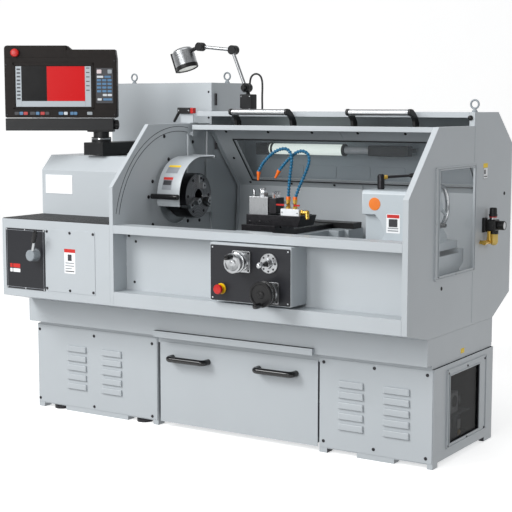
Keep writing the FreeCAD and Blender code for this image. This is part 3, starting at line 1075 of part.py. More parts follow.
def build_fittings():
    """The small things on the outside: eyebolts, lubricator, air regulator and door switch."""
    rings = []
    bolts = ((-930, 363, "electrical_top"), (-370, 363, "electrical_top"), (1014, 96, "canopy_top"))
    for index, (x, y, seat) in enumerate(bolts):
        height = f"{seat} + 32"
        ring = tube(f"eye_ring_{index}", "Y", (str(x), f"{y} - 4.5", height), "21", "13", "9")
        collar = rod(f"eye_collar_{index}", "Z", (str(x), str(y), seat), "12", "8")
        neck = rod(f"eye_neck_{index}", "Z", (str(x), str(y), f"{seat} + 8"), "7", "7")
        rings.append(fuse(f"eyebolt_{index}", [ring, collar, neck]))
    node("lifting_eyebolts", group("lifting_eyebolts", rings))

    shelf = box("lubricator_shelf", ("right_cabinet_end - 150", "right_cabinet_end - 20"), ("-120", "110"),
                ("foot_notch + skin", "foot_notch + skin + 26"))
    back_plate = box("lubricator_bracket", ("right_cabinet_end - 150", "right_cabinet_end - 146"), ("-120", "110"),
                     ("foot_notch + skin + 26", "330"))
    jar = rod("lubricator_jar", "Z", ("right_cabinet_end - 80", "-50", "foot_notch + skin + 26"), "42", "118")
    top = box("lubricator_top", ("right_cabinet_end - 146", "right_cabinet_end - 36"), ("-100", "20"),
              ("foot_notch + skin + 144", "foot_notch + skin + 232"))
    gauge = rod("lubricator_gauge", "X", ("right_cabinet_end - 146", "56", "foot_notch + skin + 190"), "22", "100")
    bowl = rod("lubricator_bowl", "Z", ("right_cabinet_end - 80", "62", "foot_notch + skin + 26"), "30", "96")
    lid = rod("lubricator_lid", "Z", ("right_cabinet_end - 80", "62", "foot_notch + skin + 122"), "20", "20")
    node("lubricator", fuse("lubricator", [shelf, back_plate, jar, top, gauge, bowl, lid]))

    x = "enclosure_end"
    y = "regulator_y"
    z = "regulator_z"
    body = box("regulator_body", (f"{x} + 8", f"{x} + 52"), (f"{y} - 28", f"{y} + 22"), (f"{z} - 24", f"{z} + 24"))
    mount = box("regulator_mount", (x, f"{x} + 14"), (f"{y} - 46", f"{y} - 20"), (f"{z} - 28", f"{z} + 32"))
    bowl_part = rod("regulator_bowl", "Z", (f"{x} + 34", f"{y} + 4", f"{z} - 84"), "17", "60")
    gauge_part = rod("regulator_gauge", "X", (f"{x} + 52", y, z), "19", "30")
    inlet = rod("regulator_inlet", "Z", (f"{x} + 22", f"{y} - 24", f"{z} - 66"), "9", "42")
    elbow = rod("regulator_elbow", "Y", (f"{x} + 22", f"{y} - 74", f"{z} - 68"), "10", "60")
    stub = rod("regulator_stub", "X", (x, f"{y} - 60", f"{z} - 68"), "8", "22")
    neck = rod("regulator_neck", "Z", (f"{x} + 30", y, f"{z} + 24"), "15", "12")
    node("air_regulator", fuse("air_regulator", [body, mount, bowl_part, gauge_part, inlet, elbow, stub, neck]))
    node("regulator_knob", fuse("regulator_knob", [
        rod("knob_low", "Z", (f"{x} + 30", y, f"{z} + 36 + gap"), "18", "10"),
        rod("knob_high", "Z", (f"{x} + 30", y, f"{z} + 46 + gap"), "16", "26")]))

    foot = box("switch_foot", ("wall_start", "wall_end"), ("40", "104"), ("roof", "roof + skin"))
    bracket = box("switch_bracket", ("wall_start - 50", "wall_end"), ("64", "68"), ("roof + skin", "roof + 44"))
    body_part = box("switch_body", ("wall_start - 60", "wall_end + 8"), ("50", "78"), ("roof + 44", "roof + 72"))
    corner = Vector(size["wall_start"] - 54, 64, size["roof"] + 58)
    arm = made("switch_arm", slanted_rod(corner, corner + Vector(-34, 0, -52), 7))
    node("interlock_switch", fuse("interlock_switch", [foot, bracket, body_part, arm]))


build_cabinets()
build_tray_and_bed()
build_headstock()
build_left_side()
build_enclosure()
build_door()
build_chuck_guard()
build_carriage()
build_tailstock()
build_controls()
build_drawer()
build_pendant()
build_work_lamp()
build_fittings()
doc.recompute()

faults = [item.Name for item in doc.Objects if "Invalid" in item.State or "Error" in item.State]
for item in nodes:
    if item.Shape.isNull() or not item.Shape.isValid() or item.Shape.Volume <= 0:
        faults.append(item.Label)
if faults:
    raise ValueError(f"these did not build: {faults}")
os.makedirs("parts", exist_ok=True)
for item in nodes:
    item.Shape.exportStep(f"parts/{item.Label}.step")
whole = Part.makeCompound([item.Shape for item in nodes]).BoundBox
print(len(nodes), "sub-parts written", whole)
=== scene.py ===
"""Builds the looks of a flat-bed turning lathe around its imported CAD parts."""
import math

import bmesh
import bpy
from bpy.props import FloatProperty, FloatVectorProperty, IntProperty, PointerProperty
from mathutils import Matrix, Vector


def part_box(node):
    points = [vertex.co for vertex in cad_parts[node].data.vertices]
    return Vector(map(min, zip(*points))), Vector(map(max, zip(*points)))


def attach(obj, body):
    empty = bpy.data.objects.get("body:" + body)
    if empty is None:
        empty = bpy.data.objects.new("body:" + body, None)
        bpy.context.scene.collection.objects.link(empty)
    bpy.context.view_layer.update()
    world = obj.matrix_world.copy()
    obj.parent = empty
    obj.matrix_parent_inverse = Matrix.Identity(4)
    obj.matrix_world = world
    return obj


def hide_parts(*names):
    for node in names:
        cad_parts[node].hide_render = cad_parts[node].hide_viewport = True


bl_info = {
    "name": "Turning Lathe",
    "version": (1, 0, 0),
    "blender": (4, 5, 0),
    "location": "View3D > Sidebar > Lathe",
    "description": "Builds the looks of a flat-bed turning lathe",
    "category": "Object",
}

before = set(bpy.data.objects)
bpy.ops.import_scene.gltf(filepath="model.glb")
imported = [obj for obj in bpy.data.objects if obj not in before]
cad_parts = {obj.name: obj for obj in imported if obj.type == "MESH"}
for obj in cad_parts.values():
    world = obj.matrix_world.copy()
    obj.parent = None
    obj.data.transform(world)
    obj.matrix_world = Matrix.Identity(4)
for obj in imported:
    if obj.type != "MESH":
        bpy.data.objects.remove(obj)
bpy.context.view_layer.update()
MM = 0.001
# Places are millimetres of the machine's drawing: X along the spindle, Y to the rear, Z up from the floor.
# The left cabinet's lower left front corner ties that drawing to the frame.
CABINET_CORNER = Vector((-1004, -302.5, 0))
DRAWING = Matrix.Translation(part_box("left_cabinet")[0] - CABINET_CORNER * MM) @ Matrix.Scale(MM, 4)
HINGE = Vector((0, -58, 862))
DOOR_OPEN = 95
DOOR = DRAWING @ Matrix.Translation(HINGE) @ Matrix.Rotation(math.radians(-DOOR_OPEN), 4, "X")
PIVOT = Vector((-720, -160, 0))
PENDANT_TURN = 32.5
PENDANT = DRAWING @ Matrix.Translation(PIVOT) @ Matrix.Rotation(math.radians(PENDANT_TURN), 4, "Z")
SPINDLE = Vector((0, -74, 1015))

# Planes of the folded sheet metal.
FRONT = -531
PANEL_FACE = -305.5
COVER_FACE = -258
CONTROL_FACE = -563
RIGHT_FACE = 1027
LEFT_WALL = -360
LOWEST_LOUVRE = 108
LOUVRE_PITCH = 44
LOUVRE_ROWS = 5
DRAWER_FACE = -304.5

# Where one finish of the bed and the cross slide gives way to another.
LOWEST_WAY = 815
WAY_COVER_TOP = 888
TOOL_PLATE_REAR = 245


def box_mm(node_name):
    """A CAD node's lowest and highest corner in the drawing's millimetres."""
    back = DRAWING.inverted()
    low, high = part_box(node_name)
    return back @ low, back @ high


# ---------------------------------------------------------------- shapes

class Form:
    """One piece in the making."""

    def __init__(self, lay=DRAWING):
        self.bm = bmesh.new()
        self.lay = lay
        self.materials = []
        self.current = 0

    def use(self, finish_name):
        """The finish of the shapes that follow, by its name."""
        material = coat(finish_name)
        if material not in self.materials:
            self.materials.append(material)
        self.current = self.materials.index(material)
        return self

    def _take(self, faces_before):
        """Gives the new faces the current material and returns them."""
        fresh = [face for face in self.bm.faces if face not in faces_before]
        for face in fresh:
            face.material_index = self.current
            face.smooth = True
        return fresh

    def _bevel(self, edges, offset, segments):
        if offset > 0 and edges:
            bmesh.ops.bevel(self.bm, geom=edges, offset=offset, offset_type="OFFSET", segments=segments,
                            profile=0.5, affect="EDGES", material=-1, clamp_overlap=True)

    def block(self, low, high, edge=1.0, segments=2, turn=None):
        """A block between two corners with rounded edges."""
        before = set(self.bm.faces)
        verts = bmesh.ops.create_cube(self.bm, size=1.0)["verts"]
        low, high = Vector(low), Vector(high)
        bmesh.ops.scale(self.bm, vec=high - low, verts=verts)
        bmesh.ops.translate(self.bm, vec=(low + high) / 2, verts=verts)
        if turn:
            bmesh.ops.transform(self.bm, matrix=turn, verts=verts)
        edges = list({joined for vert in verts for joined in vert.link_edges})
        self._bevel(edges, edge, segments)
        return self._take(before)

    def rod(self, start, end, radius, end_radius=None, sides=32, edge=0.0):
        """A round bar between two points, tapered if it has two radii."""
        before = set(self.bm.faces)
        start, end = Vector(start), Vector(end)
        run = end - start
        turn = Matrix.Translation((start + end) / 2) @ run.to_track_quat("Z", "Y").to_matrix().to_4x4()
        last = radius if end_radius is None else end_radius
        verts = bmesh.ops.create_cone(self.bm, cap_ends=True, segments=sides, radius1=radius, radius2=last,
                                      depth=run.length, matrix=turn)["verts"]
        caps = {joined for vert in verts for joined in vert.link_faces if len(joined.verts) == sides}
        self._bevel(list({joined for cap in caps for joined in cap.edges}), edge, 2)
        return self._take(before)

    def ball(self, centre, radius, squash=(1, 1, 1), sides=24):
        before = set(self.bm.faces)
        verts = bmesh.ops.create_uvsphere(self.bm, u_segments=sides, v_segments=sides // 2,
                                          radius=radius)["verts"]
        bmesh.ops.scale(self.bm, vec=squash, verts=verts)
        bmesh.ops.translate(self.bm, vec=centre, verts=verts)
        return self._take(before)

    def spun(self, profile, start, direction, sides=48):
        """A turned shape: (along, radius) points spun about a line. Points on the line close its ends."""
        before = set(self.bm.faces)
        verts = [self.bm.verts.new((radius, 0, along)) for along, radius in profile]
        edges = [self.bm.edges.new(pair) for pair in zip(verts, verts[1:])]
        bmesh.ops.spin(self.bm, geom=verts + edges, cent=(0, 0, 0), axis=(0, 0, 1), dvec=(0, 0, 0),
                       angle=math.tau, steps=sides, use_merge=True, use_duplicate=False)
        fresh = [face for face in self.bm.faces if face not in before]
        corners = list({vert for face in fresh for vert in face.verts})
        bmesh.ops.remove_doubles(self.bm, verts=corners, dist=0.001)
        fresh = [face for face in self.bm.faces if face not in before]
        corners = list({vert for face in fresh for vert in face.verts})
        bmesh.ops.recalc_face_normals(self.bm, faces=fresh)
        aim = Vector(direction).to_track_quat("Z", "Y").to_matrix().to_4x4()
        turn = Matrix.Translation(Vector(start)) @ aim
        bmesh.ops.transform(self.bm, matrix=turn, verts=corners)
        return self._take(before)

    def ring(self, centre, direction, radius, thickness, sides=48, around=12):
        """A round ring, as a handwheel's rim."""
        steps = [(math.sin(math.tau * step / around) * thickness,
                  radius + math.cos(math.tau * step / around) * thickness)
                 for step in range(around + 1)]
        return self.spun(steps, centre, direction, sides)

    def slab(self, outline, plane, low, high, edge=0.0, segments=2):
        """An outline in the XZ, YZ or XY plane, run from low to high across it, with rounded edges."""
        before = set(self.bm.faces)
        spread = {"XZ": lambda u, v: (u, low, v),
                  "YZ": lambda u, v: (low, u, v),
                  "XY": lambda u, v: (u, v, low)}[plane]
        across = {"XZ": Vector((0, 1, 0)), "YZ": Vector((1, 0, 0)), "XY": Vector((0, 0, 1))}[plane]
        face = self.bm.faces.new([self.bm.verts.new(spread(u, v)) for u, v in outline])
        grown = bmesh.ops.extrude_face_region(self.bm, geom=[face])["geom"]
        moved = [item for item in grown if isinstance(item, bmesh.types.BMVert)]
        bmesh.ops.translate(self.bm, vec=across * (high - low), verts=moved)
        fresh = [item for item in self.bm.faces if item not in before]
        bmesh.ops.recalc_face_normals(self.bm, faces=fresh)
        self._bevel(list({joined for item in fresh for joined in item.edges}), edge, segments)
        return self._take(before)

    def screw(self, centre, direction, radius, height, socket=True):
        """A button-head screw or plug standing on a face, with a hex socket."""
        centre, direction = Vector(centre), Vector(direction).normalized()
        profile = [(0, radius), (height * 0.45, radius * 0.96), (height * 0.8, radius * 0.78),
                   (height, radius * 0.5)]
        if socket:
            profile += [(height, radius * 0.42), (height * 0.4, radius * 0.4), (height * 0.4, 0)]
        else:
            profile += [(height, 0)]
        return self.spun([(0, 0)] + profile, centre, direction, 20)

    def tube(self, points, radius):
        """A round bar bent along a line of points."""
        for first, last in zip(points, points[1:]):
            self.rod(first, last, radius, None, 24)
            self.ball(last, radius)

    def finish(self, name, body, replaces=(), soft_edge=40):
        """Lays the piece in the frame as an object that rides on a body and stands for CAD nodes."""
        bmesh.ops.transform(self.bm, matrix=self.lay, verts=self.bm.verts)
        limit = math.radians(soft_edge)
        for edge in self.bm.edges:
            edge.smooth = len(edge.link_faces) == 2 and edge.calc_face_angle(0) < limit
        mesh = bpy.data.meshes.new(name)
        self.bm.to_mesh(mesh)
        self.bm.free()
        for material in self.materials:
            mesh.materials.append(material)
        piece = bpy.data.objects.new(name, mesh)
        bpy.context.collection.objects.link(piece)
        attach(piece, body)
        if replaces:
            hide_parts(*replaces)
        # The broad flat faces keep their own direction, so only the rounded edges turn the light.
        piece.modifiers.new("Flat faces", "WEIGHTED_NORMAL").keep_sharp = True
        return piece


def arc(centre, radius, first, last, steps):
    """Points of an arc in a plane, by angle in degrees."""
    points = []
    for step in range(steps + 1):
        angle = math.radians(first + (last - first) * step / steps)
        points.append((centre[0] + radius * math.cos(angle), centre[1] + radius * math.sin(angle)))
    return points


def rounded(low, high, radius, steps=5):
    """The outline of a rectangle with round corners."""
    points = []
    for corner, first in (((high[0] - radius, high[1] - radius), 0),
                          ((low[0] + radius, high[1] - radius), 90),
                          ((low[0] + radius, low[1] + radius), 180),
                          ((high[0] - radius, low[1] + radius), 270)):
        points += arc(corner, radius, first, first + 90, steps)
    return points


# ---------------------------------------------------------------- materials

def linear(hex_colour):
    """A colour written as sRGB hex, as the linear colour that a shader takes."""
    if not isinstance(hex_colour, str):
        return list(hex_colour)
    channels = [int(hex_colour[place:place + 2], 16) / 255 for place in (1, 3, 5)]
    return [channel / 12.92 if channel <= 0.04045 else ((channel + 0.055) / 1.055) ** 2.4
            for channel in channels] + [1.0]


def add_node(tree, kind, settings=None, sockets=None, links=None):
    """Adds one shader node: its properties, its socket values, and links from other nodes' outputs."""
    item = tree.nodes.new(kind)
    for key, value in (settings or {}).items():
        setattr(item, key, value)
    for key, value in (sockets or {}).items():
        item.inputs[key].default_value = value
    for key, output in (links or {}).items():
        tree.links.new(output, item.inputs[key])
    return item


MATERIALS = {}


def surface(name, colour, **sockets):
    """A new material with a Principled shader set to constants. Returns the material, tree and shader."""
    material = bpy.data.materials.new(name)
    material.use_nodes = True
    tree = material.node_tree
    shader = tree.nodes["Principled BSDF"]
    shader.inputs["Base Color"].default_value = linear(colour)
    for key, value in sockets.items():
        shader.inputs[key.replace("_", " ")].default_value = value
    material.diffuse_color = linear(colour)
    MATERIALS[name] = material
    return material, tree, shader


# A wave texture repeats 20 times in a turn of its phase.
WAVES_PER_UNIT = 20 / math.tau


def per_mm(size_mm):
    """The scale of a pattern on Object coordinates, in metres, whose cells are that many millimetres."""
    return 1 / (size_mm * MM)


def tint(tree, shader, dark, light, grain_mm, stretch=(1, 1, 1), detail=3.0):
    """Lets a surface's colour drift between two near shades over patches of a real size."""
    place = add_node(tree, "ShaderNodeTexCoord")
    spread = add_node(tree, "ShaderNodeMapping", None, {"Scale": stretch},
                      {"Vector": place.outputs["Object"]})
    noise = add_node(tree, "ShaderNodeTexNoise", None, {"Scale": per_mm(grain_mm), "Detail": detail},
                     {"Vector": spread.outputs["Vector"]})
    mix = add_node(tree, "ShaderNodeMix", {"data_type": "RGBA"}, None, {"Factor": noise.outputs["Fac"]})
    mix.inputs[6].default_value = linear(dark)
    mix.inputs[7].default_value = linear(light)
    tree.links.new(mix.outputs[2], shader.inputs["Base Color"])
    return spread


def roughen(tree, shader, low, high, grain_mm, stretch=(1, 1, 1)):
    """Lets the roughness drift between two values over patches of a real size."""
    place = add_node(tree, "ShaderNodeTexCoord")
    spread = add_node(tree, "ShaderNodeMapping", None, {"Scale": stretch},
                      {"Vector": place.outputs["Object"]})
    noise = add_node(tree, "ShaderNodeTexNoise", None, {"Scale": per_mm(grain_mm), "Detail": 4.0},
                     {"Vector": spread.outputs["Vector"]})
    span = add_node(tree, "ShaderNodeMapRange", None, {"To Min": low, "To Max": high},
                    {"Value": noise.outputs["Fac"]})
    tree.links.new(span.outputs["Result"], shader.inputs["Roughness"])


def relief(tree, shader, grain_mm, depth_mm, strength=0.5, stretch=(1, 1, 1), detail=2.0):
    """Gives a surface fine relief from noise whose lumps have a real size and depth."""
    place = add_node(tree, "ShaderNodeTexCoord")
    spread = add_node(tree, "ShaderNodeMapping", None, {"Scale": stretch},
                      {"Vector": place.outputs["Object"]})
    noise = add_node(tree, "ShaderNodeTexNoise", None, {"Scale": per_mm(grain_mm), "Detail": detail},
                     {"Vector": spread.outputs["Vector"]})
    bump = add_node(tree, "ShaderNodeBump", None, {"Strength": strength, "Distance": depth_mm * MM},
                    {"Height": noise.outputs["Fac"]})
    tree.links.new(bump.outputs["Normal"], shader.inputs["Normal"])


def sheet_paint():
    """Powder-coated sheet steel: satin blue-grey with a faint orange peel that softens broad highlights."""
    paint = list(bpy.context.scene.lathe_looks.paint_colour)
    material, tree, shader = surface("powder coated sheet steel", paint + [1.0], Roughness=0.36, IOR=1.5)
    tint(tree, shader, [channel * 0.95 for channel in paint] + [1.0],
         [channel * 1.03 for channel in paint] + [1.0], 220)
    roughen(tree, shader, 0.30, 0.42, 90)
    relief(tree, shader, 2.4, 0.05, 0.35)
    return material


def back_panel_paint():
    """The back wall's powder coat: the same satin coat in a deeper blue-grey."""
    material, tree, shader = surface("powder coated back panel", "#8E989E", Roughness=0.38, IOR=1.5)
    tint(tree, shader, "#87929A", "#969FA5", 220)
    roughen(tree, shader, 0.3, 0.45, 90)
    relief(tree, shader, 2.4, 0.05, 0.35)
    return material


def casting_paint():
    """Filled and sprayed cast iron: the same grey, smoother and a little glossier than the sheet."""
    material, tree, shader = surface("sprayed cast iron", "#B4BCC1", Roughness=0.3, IOR=1.5)
    tint(tree, shader, "#B0B8BD", "#B9C1C6", 120)
    roughen(tree, shader, 0.26, 0.4, 40)
    relief(tree, shader, 5.0, 0.06, 0.3)
    return material


def ground_ways():
    """Ground and oiled cast iron ways: fine lines along the bed in a mid grey metal."""
    material, tree, shader = surface("ground cast iron", "#8B9092", Roughness=0.34, Metallic=0.85)
    tint(tree, shader, "#7D8284", "#9BA0A2", 0.9, (0.02, 1, 1))
    roughen(tree, shader, 0.22, 0.46, 1.2, (0.02, 1, 1))
    relief(tree, shader, 0.8, 0.02, 0.2, (0.02, 1, 1))
    return material


def ground_steel():
    """Ground tool steel: bright, with short grinding lines."""
    material, tree, shader = surface("ground tool steel", "#A9ABAD", Roughness=0.28, Metallic=1.0)
    tint(tree, shader, "#96989A", "#B6B8BA", 1.0, (1, 0.04, 0.04))
    roughen(tree, shader, 0.2, 0.4, 1.5, (1, 0.05, 0.05))
    return material


def turned_steel():
    """Turned and oiled steel: rings about the spindle that catch the light as a fan."""
    material, tree, shader = surface("turned steel", "#8F9091", Roughness=0.3, Metallic=1.0)
    place = add_node(tree, "ShaderNodeTexCoord")
    middle = -(DRAWING @ SPINDLE)
    centred = add_node(tree, "ShaderNodeMapping", None,
                       {"Location": (0, middle.y, middle.z), "Scale": (0, 1, 1)},
                       {"Vector": place.outputs["Object"]})
    rings = add_node(tree, "ShaderNodeTexWave", {"wave_type": "RINGS", "rings_direction": "SPHERICAL"},
                     {"Scale": per_mm(7) / WAVES_PER_UNIT, "Distortion": 0.6, "Detail": 3.0,
                      "Detail Scale": 2.0},
                     {"Vector": centred.outputs["Vector"]})
    shade = add_node(tree, "ShaderNodeMix", {"data_type": "RGBA"}, None, {"Factor": rings.outputs["Fac"]})
    shade.inputs[6].default_value = linear("#5E5F61")
    shade.inputs[7].default_value = linear("#8C8D8F")
    tree.links.new(shade.outputs[2], shader.inputs["Base Color"])
    bump = add_node(tree, "ShaderNodeBump", None, {"Strength": 0.2, "Distance": 0.02 * MM},
                    {"Height": rings.outputs["Fac"]})
    tree.links.new(bump.outputs["Normal"], shader.inputs["Normal"])
    roughen(tree, shader, 0.22, 0.42, 6)
    return material


def blackened_steel():
    """Oil-blackened steel: nearly black with a dull brown sheen at the corners."""
    material, tree, shader = surface("oil blackened steel", "#2A2A2C", Roughness=0.32, Metallic=0.85)
    tint(tree, shader, "#222224", "#3E3D40", 14)
    roughen(tree, shader, 0.24, 0.42, 8)
    relief(tree, shader, 1.2, 0.02, 0.2)
    return material


def chrome():
    """Chromium plate: a bright mirror with only faint waviness."""
    material, tree, shader = surface("chromium plate", "#B4B6B8", Roughness=0.16, Metallic=1.0)
    roughen(tree, shader, 0.07, 0.18, 25)
    return material


def brass():
    """Turned brass fittings, slightly dulled."""
    material, tree, shader = surface("turned brass", "#C9A24A", Roughness=0.3, Metallic=1.0)
    tint(tree, shader, "#B08A38", "#D8B660", 6)
    roughen(tree, shader, 0.2, 0.42, 3)
    return material


def black_enamel():
    """Stoved black enamel: satin, with a fine peel."""
    material, tree, shader = surface("stoved black enamel", "#17181A", Roughness=0.4, Specular_IOR_Level=0.25)
    tint(tree, shader, "#131415", "#1B1C1E", 60)
    roughen(tree, shader, 0.32, 0.5, 30)
    relief(tree, shader, 1.6, 0.04, 0.35)
    return material


def anodised_plate():
    """Dark anodised aluminium plate with a fine brushed grain across it."""
    material, tree, shader = surface("dark anodised aluminium", "#1C1D21", Roughness=0.42,
                                     Specular_IOR_Level=0.3)
    tint(tree, shader, "#18191D", "#212227", 1.4, (0.03, 1, 1))
    roughen(tree, shader, 0.34, 0.5, 2, (0.04, 1, 1))
    return material


def black_plastic():
    """Moulded black nylon: a light spark-eroded grain."""
    material, tree, shader = surface("moulded black nylon", "#101011", Roughness=0.4, Specular_IOR_Level=0.3)
    tint(tree, shader, "#0D0D0E", "#151516", 9)
    roughen(tree, shader, 0.3, 0.5, 12)
    relief(tree, shader, 0.9, 0.03, 0.4)
    return material


def casing_plastic():
    """Textured brown-black ABS of the control pendant's casing."""
    material, tree, shader = surface("textured ABS", "#171312", Roughness=0.55, Specular_IOR_Level=0.15)
    tint(tree, shader, "#141110", "#1E1917", 18)
    relief(tree, shader, 1.1, 0.05, 0.5)
    roughen(tree, shader, 0.42, 0.6, 15)
    return material


def rubber():
    """Moulded black rubber with a soft, dusty face."""
    material, tree, shader = surface("moulded rubber", "#1B1C1D", Roughness=0.75, IOR=1.52)
    tint(tree, shader, "#171819", "#242526", 20)
    relief(tree, shader, 1.5, 0.06, 0.4)
    return material


def ribbed_mat():
    """Ribbed rubber matting: 4 mm ribs that run along the machine."""
    material, tree, shader = surface("ribbed rubber mat", "#1C1D1F", Roughness=0.62, IOR=1.52)
    place = add_node(tree, "ShaderNodeTexCoord")
    ribs = add_node(tree, "ShaderNodeTexWave", {"wave_type": "BANDS", "bands_direction": "Y"},
                    {"Scale": per_mm(4) / WAVES_PER_UNIT, "Distortion": 0.0},
                    {"Vector": place.outputs["Object"]})
    bump = add_node(tree, "ShaderNodeBump", None, {"Strength": 0.9, "Distance": 0.8 * MM},
                    {"Height": ribs.outputs["Fac"]})
    tree.links.new(bump.outputs["Normal"], shader.inputs["Normal"])
    # The grooves between the ribs are painted darker and the rib tops lighter: painted shade and highlight
    # that follow the ribs' height.
    rib_shade_mix = add_node(tree, "ShaderNodeMix", {"data_type": "RGBA"}, None, {"Factor": ribs.outputs["Fac"]})
    rib_shade_mix.inputs[6].default_value = linear("#121314")
    rib_shade_mix.inputs[7].default_value = linear("#26282A")
    tree.links.new(rib_shade_mix.outputs[2], shader.inputs["Base Color"])
    return material


def moulded(name, dark, light, roughness=0.35):
    """A glossy moulded plastic in one colour, with slight flow marks."""
    material, tree, shader = surface(name, light, Roughness=roughness, IOR=1.46)
    tint(tree, shader, dark, light, 22)
    roughen(tree, shader, roughness * 0.8, roughness * 1.25, 14)
    relief(tree, shader, 2.0, 0.02, 0.25)
    return material


def printed(name, dark, light, roughness=0.45):
    """A printed vinyl label in one flat ink, faintly uneven."""
    material, tree, shader = surface(name, light, Roughness=roughness, IOR=1.45)
    tint(tree, shader, dark, light, 30)
    roughen(tree, shader, roughness * 0.9, roughness * 1.1, 18)
    return material


def lit(name, colour, strength):
    """A lit display area: the colour glows a little by itself."""
    material, tree, shader = surface(name, colour, Roughness=0.3, Specular_IOR_Level=0.1)
    shader.inputs["Emission Color"].default_value = linear(colour)
    shader.inputs["Emission Strength"].default_value = strength
    roughen(tree, shader, 0.2, 0.3, 40)
    return material


def clear_pane():
    """Clear polycarbonate sheet: almost nothing but its hard glossy reflections."""
    material, tree, shader = surface("clear polycarbonate", "#C9D0D4", Roughness=0.05, IOR=1.58, Alpha=0.1)
    roughen(tree, shader, 0.03, 0.08, 60)
    return material


def smoked_pane():
    """Smoked polycarbonate sheet, its dark tint partly painted shade, so that the cabinet behind it stays
    dark.
    """
    material, tree, shader = surface("smoked polycarbonate", "#0E1011", Roughness=0.06,
                                     Specular_IOR_Level=0.1, Alpha=0.45)
    roughen(tree, shader, 0.04, 0.09, 60)
    return material


def lamp_tube():
    """Lit tube behind a frosted sleeve."""
    material, tree, shader = surface("frosted lamp sleeve", "#DDE6E2", Roughness=0.4, IOR=1.4)
    shader.inputs["Emission Color"].default_value = linear("#E4EFE9")
    shader.inputs["Emission Strength"].default_value = 0.75
    tint(tree, shader, "#D2DCD8", "#E8F0EC", 90, (0.3, 1, 1))
    return material


def floor_paper():
    """Seamless white studio paper: matt, with a faint fibre, and lit from behind until it is white."""
    material, tree, shader = surface("seamless studio paper", "#F4F4F3", Roughness=0.9)
    shader.inputs["Emission Color"].default_value = linear("#FFFFFF")
    shader.inputs["Emission Strength"].default_value = 0.5
    tint(tree, shader, "#F2F2F1", "#F6F6F5", 400)
    return material


def make_materials():
    """Every finish of the machine, once."""
    for recipe in (sheet_paint, back_panel_paint, casting_paint, ground_ways, ground_steel, turned_steel,
                   blackened_steel, chrome, brass, black_enamel, anodised_plate, black_plastic,
                   casing_plastic, rubber, ribbed_mat, clear_pane, smoked_pane, lamp_tube, floor_paper):
        recipe()
    for name, dark, light, roughness in (
            ("white nylon", "#D5D9DC", "#ECEFF1", 0.35), ("glossy black nylon", "#0B0B0C", "#141416", 0.16),
            ("red nylon", "#A81512", "#C8201A", 0.3), ("yellow nylon", "#D9A800", "#F2C500", 0.35),
            ("blue acetal", "#075272", "#0F6C94", 0.3), ("orange acetal", "#D9590B", "#F27A18", 0.3),
            ("grey nylon", "#7E858A", "#989FA4", 0.4), ("light grey key", "#B9BDC2", "#CCD0D4", 0.4),
            ("steel blue key", "#3F678A", "#4F7BA0", 0.4), ("pink white key", "#C4B4B5", "#D6C8C9", 0.4),
            ("dull red key", "#9C2423", "#B03130", 0.4), ("dark key", "#26262C", "#34343C", 0.45),
            ("amber glass bowl", "#C9A94E", "#DDBE62", 0.12)):
        moulded(name, dark, light, roughness)
    for name, dark, light in (
            ("white vinyl label", "#E4E6E8", "#F2F3F4"), ("yellow vinyl label", "#E8C21C", "#F4D22E"),
            ("red vinyl label", "#B8231C", "#CC2C24"), ("orange vinyl label", "#DC6F1A", "#EC8226"),
            ("grey vinyl label", "#84888D", "#969A9F"), ("dark vinyl label", "#2B2C30", "#393A3F")):
        printed(name, dark, light)
    lit("lit display red", "#A80B0F", 0.45)
    lit("lit display black", "#010102", 0.0)
    lit("lit display grey", "#A2A9AE", 0.15)
    lit("lamp lens", "#F1F0EA", 0.3)


def coat(name):
    """A finished material by its name."""
    return MATERIALS[name]


PAINT = "powder coated sheet steel"
CASTING = "sprayed cast iron"
GROUND = "ground tool steel"
BLACK_STEEL = "oil blackened steel"
ENAMEL = "stoved black enamel"
NYLON = "moulded black nylon"


def dress(names, finish_name):
    """Gives carried-over CAD nodes their finish."""
    for name in names:
        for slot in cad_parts[name].material_slots:
            slot.material = coat(finish_name)


def softened(node_name, body, finishes, pick=None, radius=1.2, shortest=6, name=None, add=None):
    """A CAD node's shape with its sharp folds and edges rounded, as a new piece that stands for it.

    pick gives a face's finish from its middle in drawing millimetres and its direction. add puts more shapes
    on the same piece.
    """
    form = Form()
    form.bm.from_mesh(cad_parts[node_name].data)
    bm = form.bm
    bmesh.ops.transform(bm, matrix=DRAWING.inverted(), verts=bm.verts)
    bmesh.ops.remove_doubles(bm, verts=bm.verts, dist=0.01)
    bmesh.ops.dissolve_limit(bm, angle_limit=math.radians(1), verts=bm.verts, edges=bm.edges)
    for finish_name in finishes:
        form.use(finish_name)
    for face in bm.faces:
        face.material_index = pick(face.calc_center_median(), face.normal) if pick else 0
        face.smooth = True
    sharp = [edge for edge in bm.edges if len(edge.link_faces) == 2 and edge.calc_length() > shortest
             and edge.calc_face_angle(0) > math.radians(30)]
    if radius > 0:
        bmesh.ops.bevel(bm, geom=sharp, offset=radius, offset_type="OFFSET", segments=2, profile=0.5,
                        affect="EDGES", material=-1, clamp_overlap=False)
    if add:
        add(form)
    return form.finish(name or f"{node_name}_finished", body, [node_name])


# ---------------------------------------------------------------- settings

class LatheLooks(bpy.types.PropertyGroup):
    """Sizes and colours that a user would change."""
    paint_colour: FloatVectorProperty(name="Paint colour", description="Colour of the machine's sheet metal",
                                      subtype="COLOR", size=3, min=0, max=1, default=linear("#B3B9BD")[:3])
    fold_radius: FloatProperty(name="Fold radius", description="Rounding of the folded sheet's edges",
                               unit="LENGTH", default=1.2 * MM, min=0.2 * MM, max=3 * MM)
    hose_pitch: FloatProperty(name="Hose pitch", description="Length of one joint of the coolant hoses",
                              unit="LENGTH", default=13 * MM, min=8 * MM, max=30 * MM)
    dial_marks: IntProperty(name="Dial marks", description="Marks around a handwheel's dial", default=60,
                            min=12, max=120)
    key_light: FloatProperty(name="Key light", description="Strength of the large soft light at the left",
                             default=365, min=0, max=2000, unit="POWER")


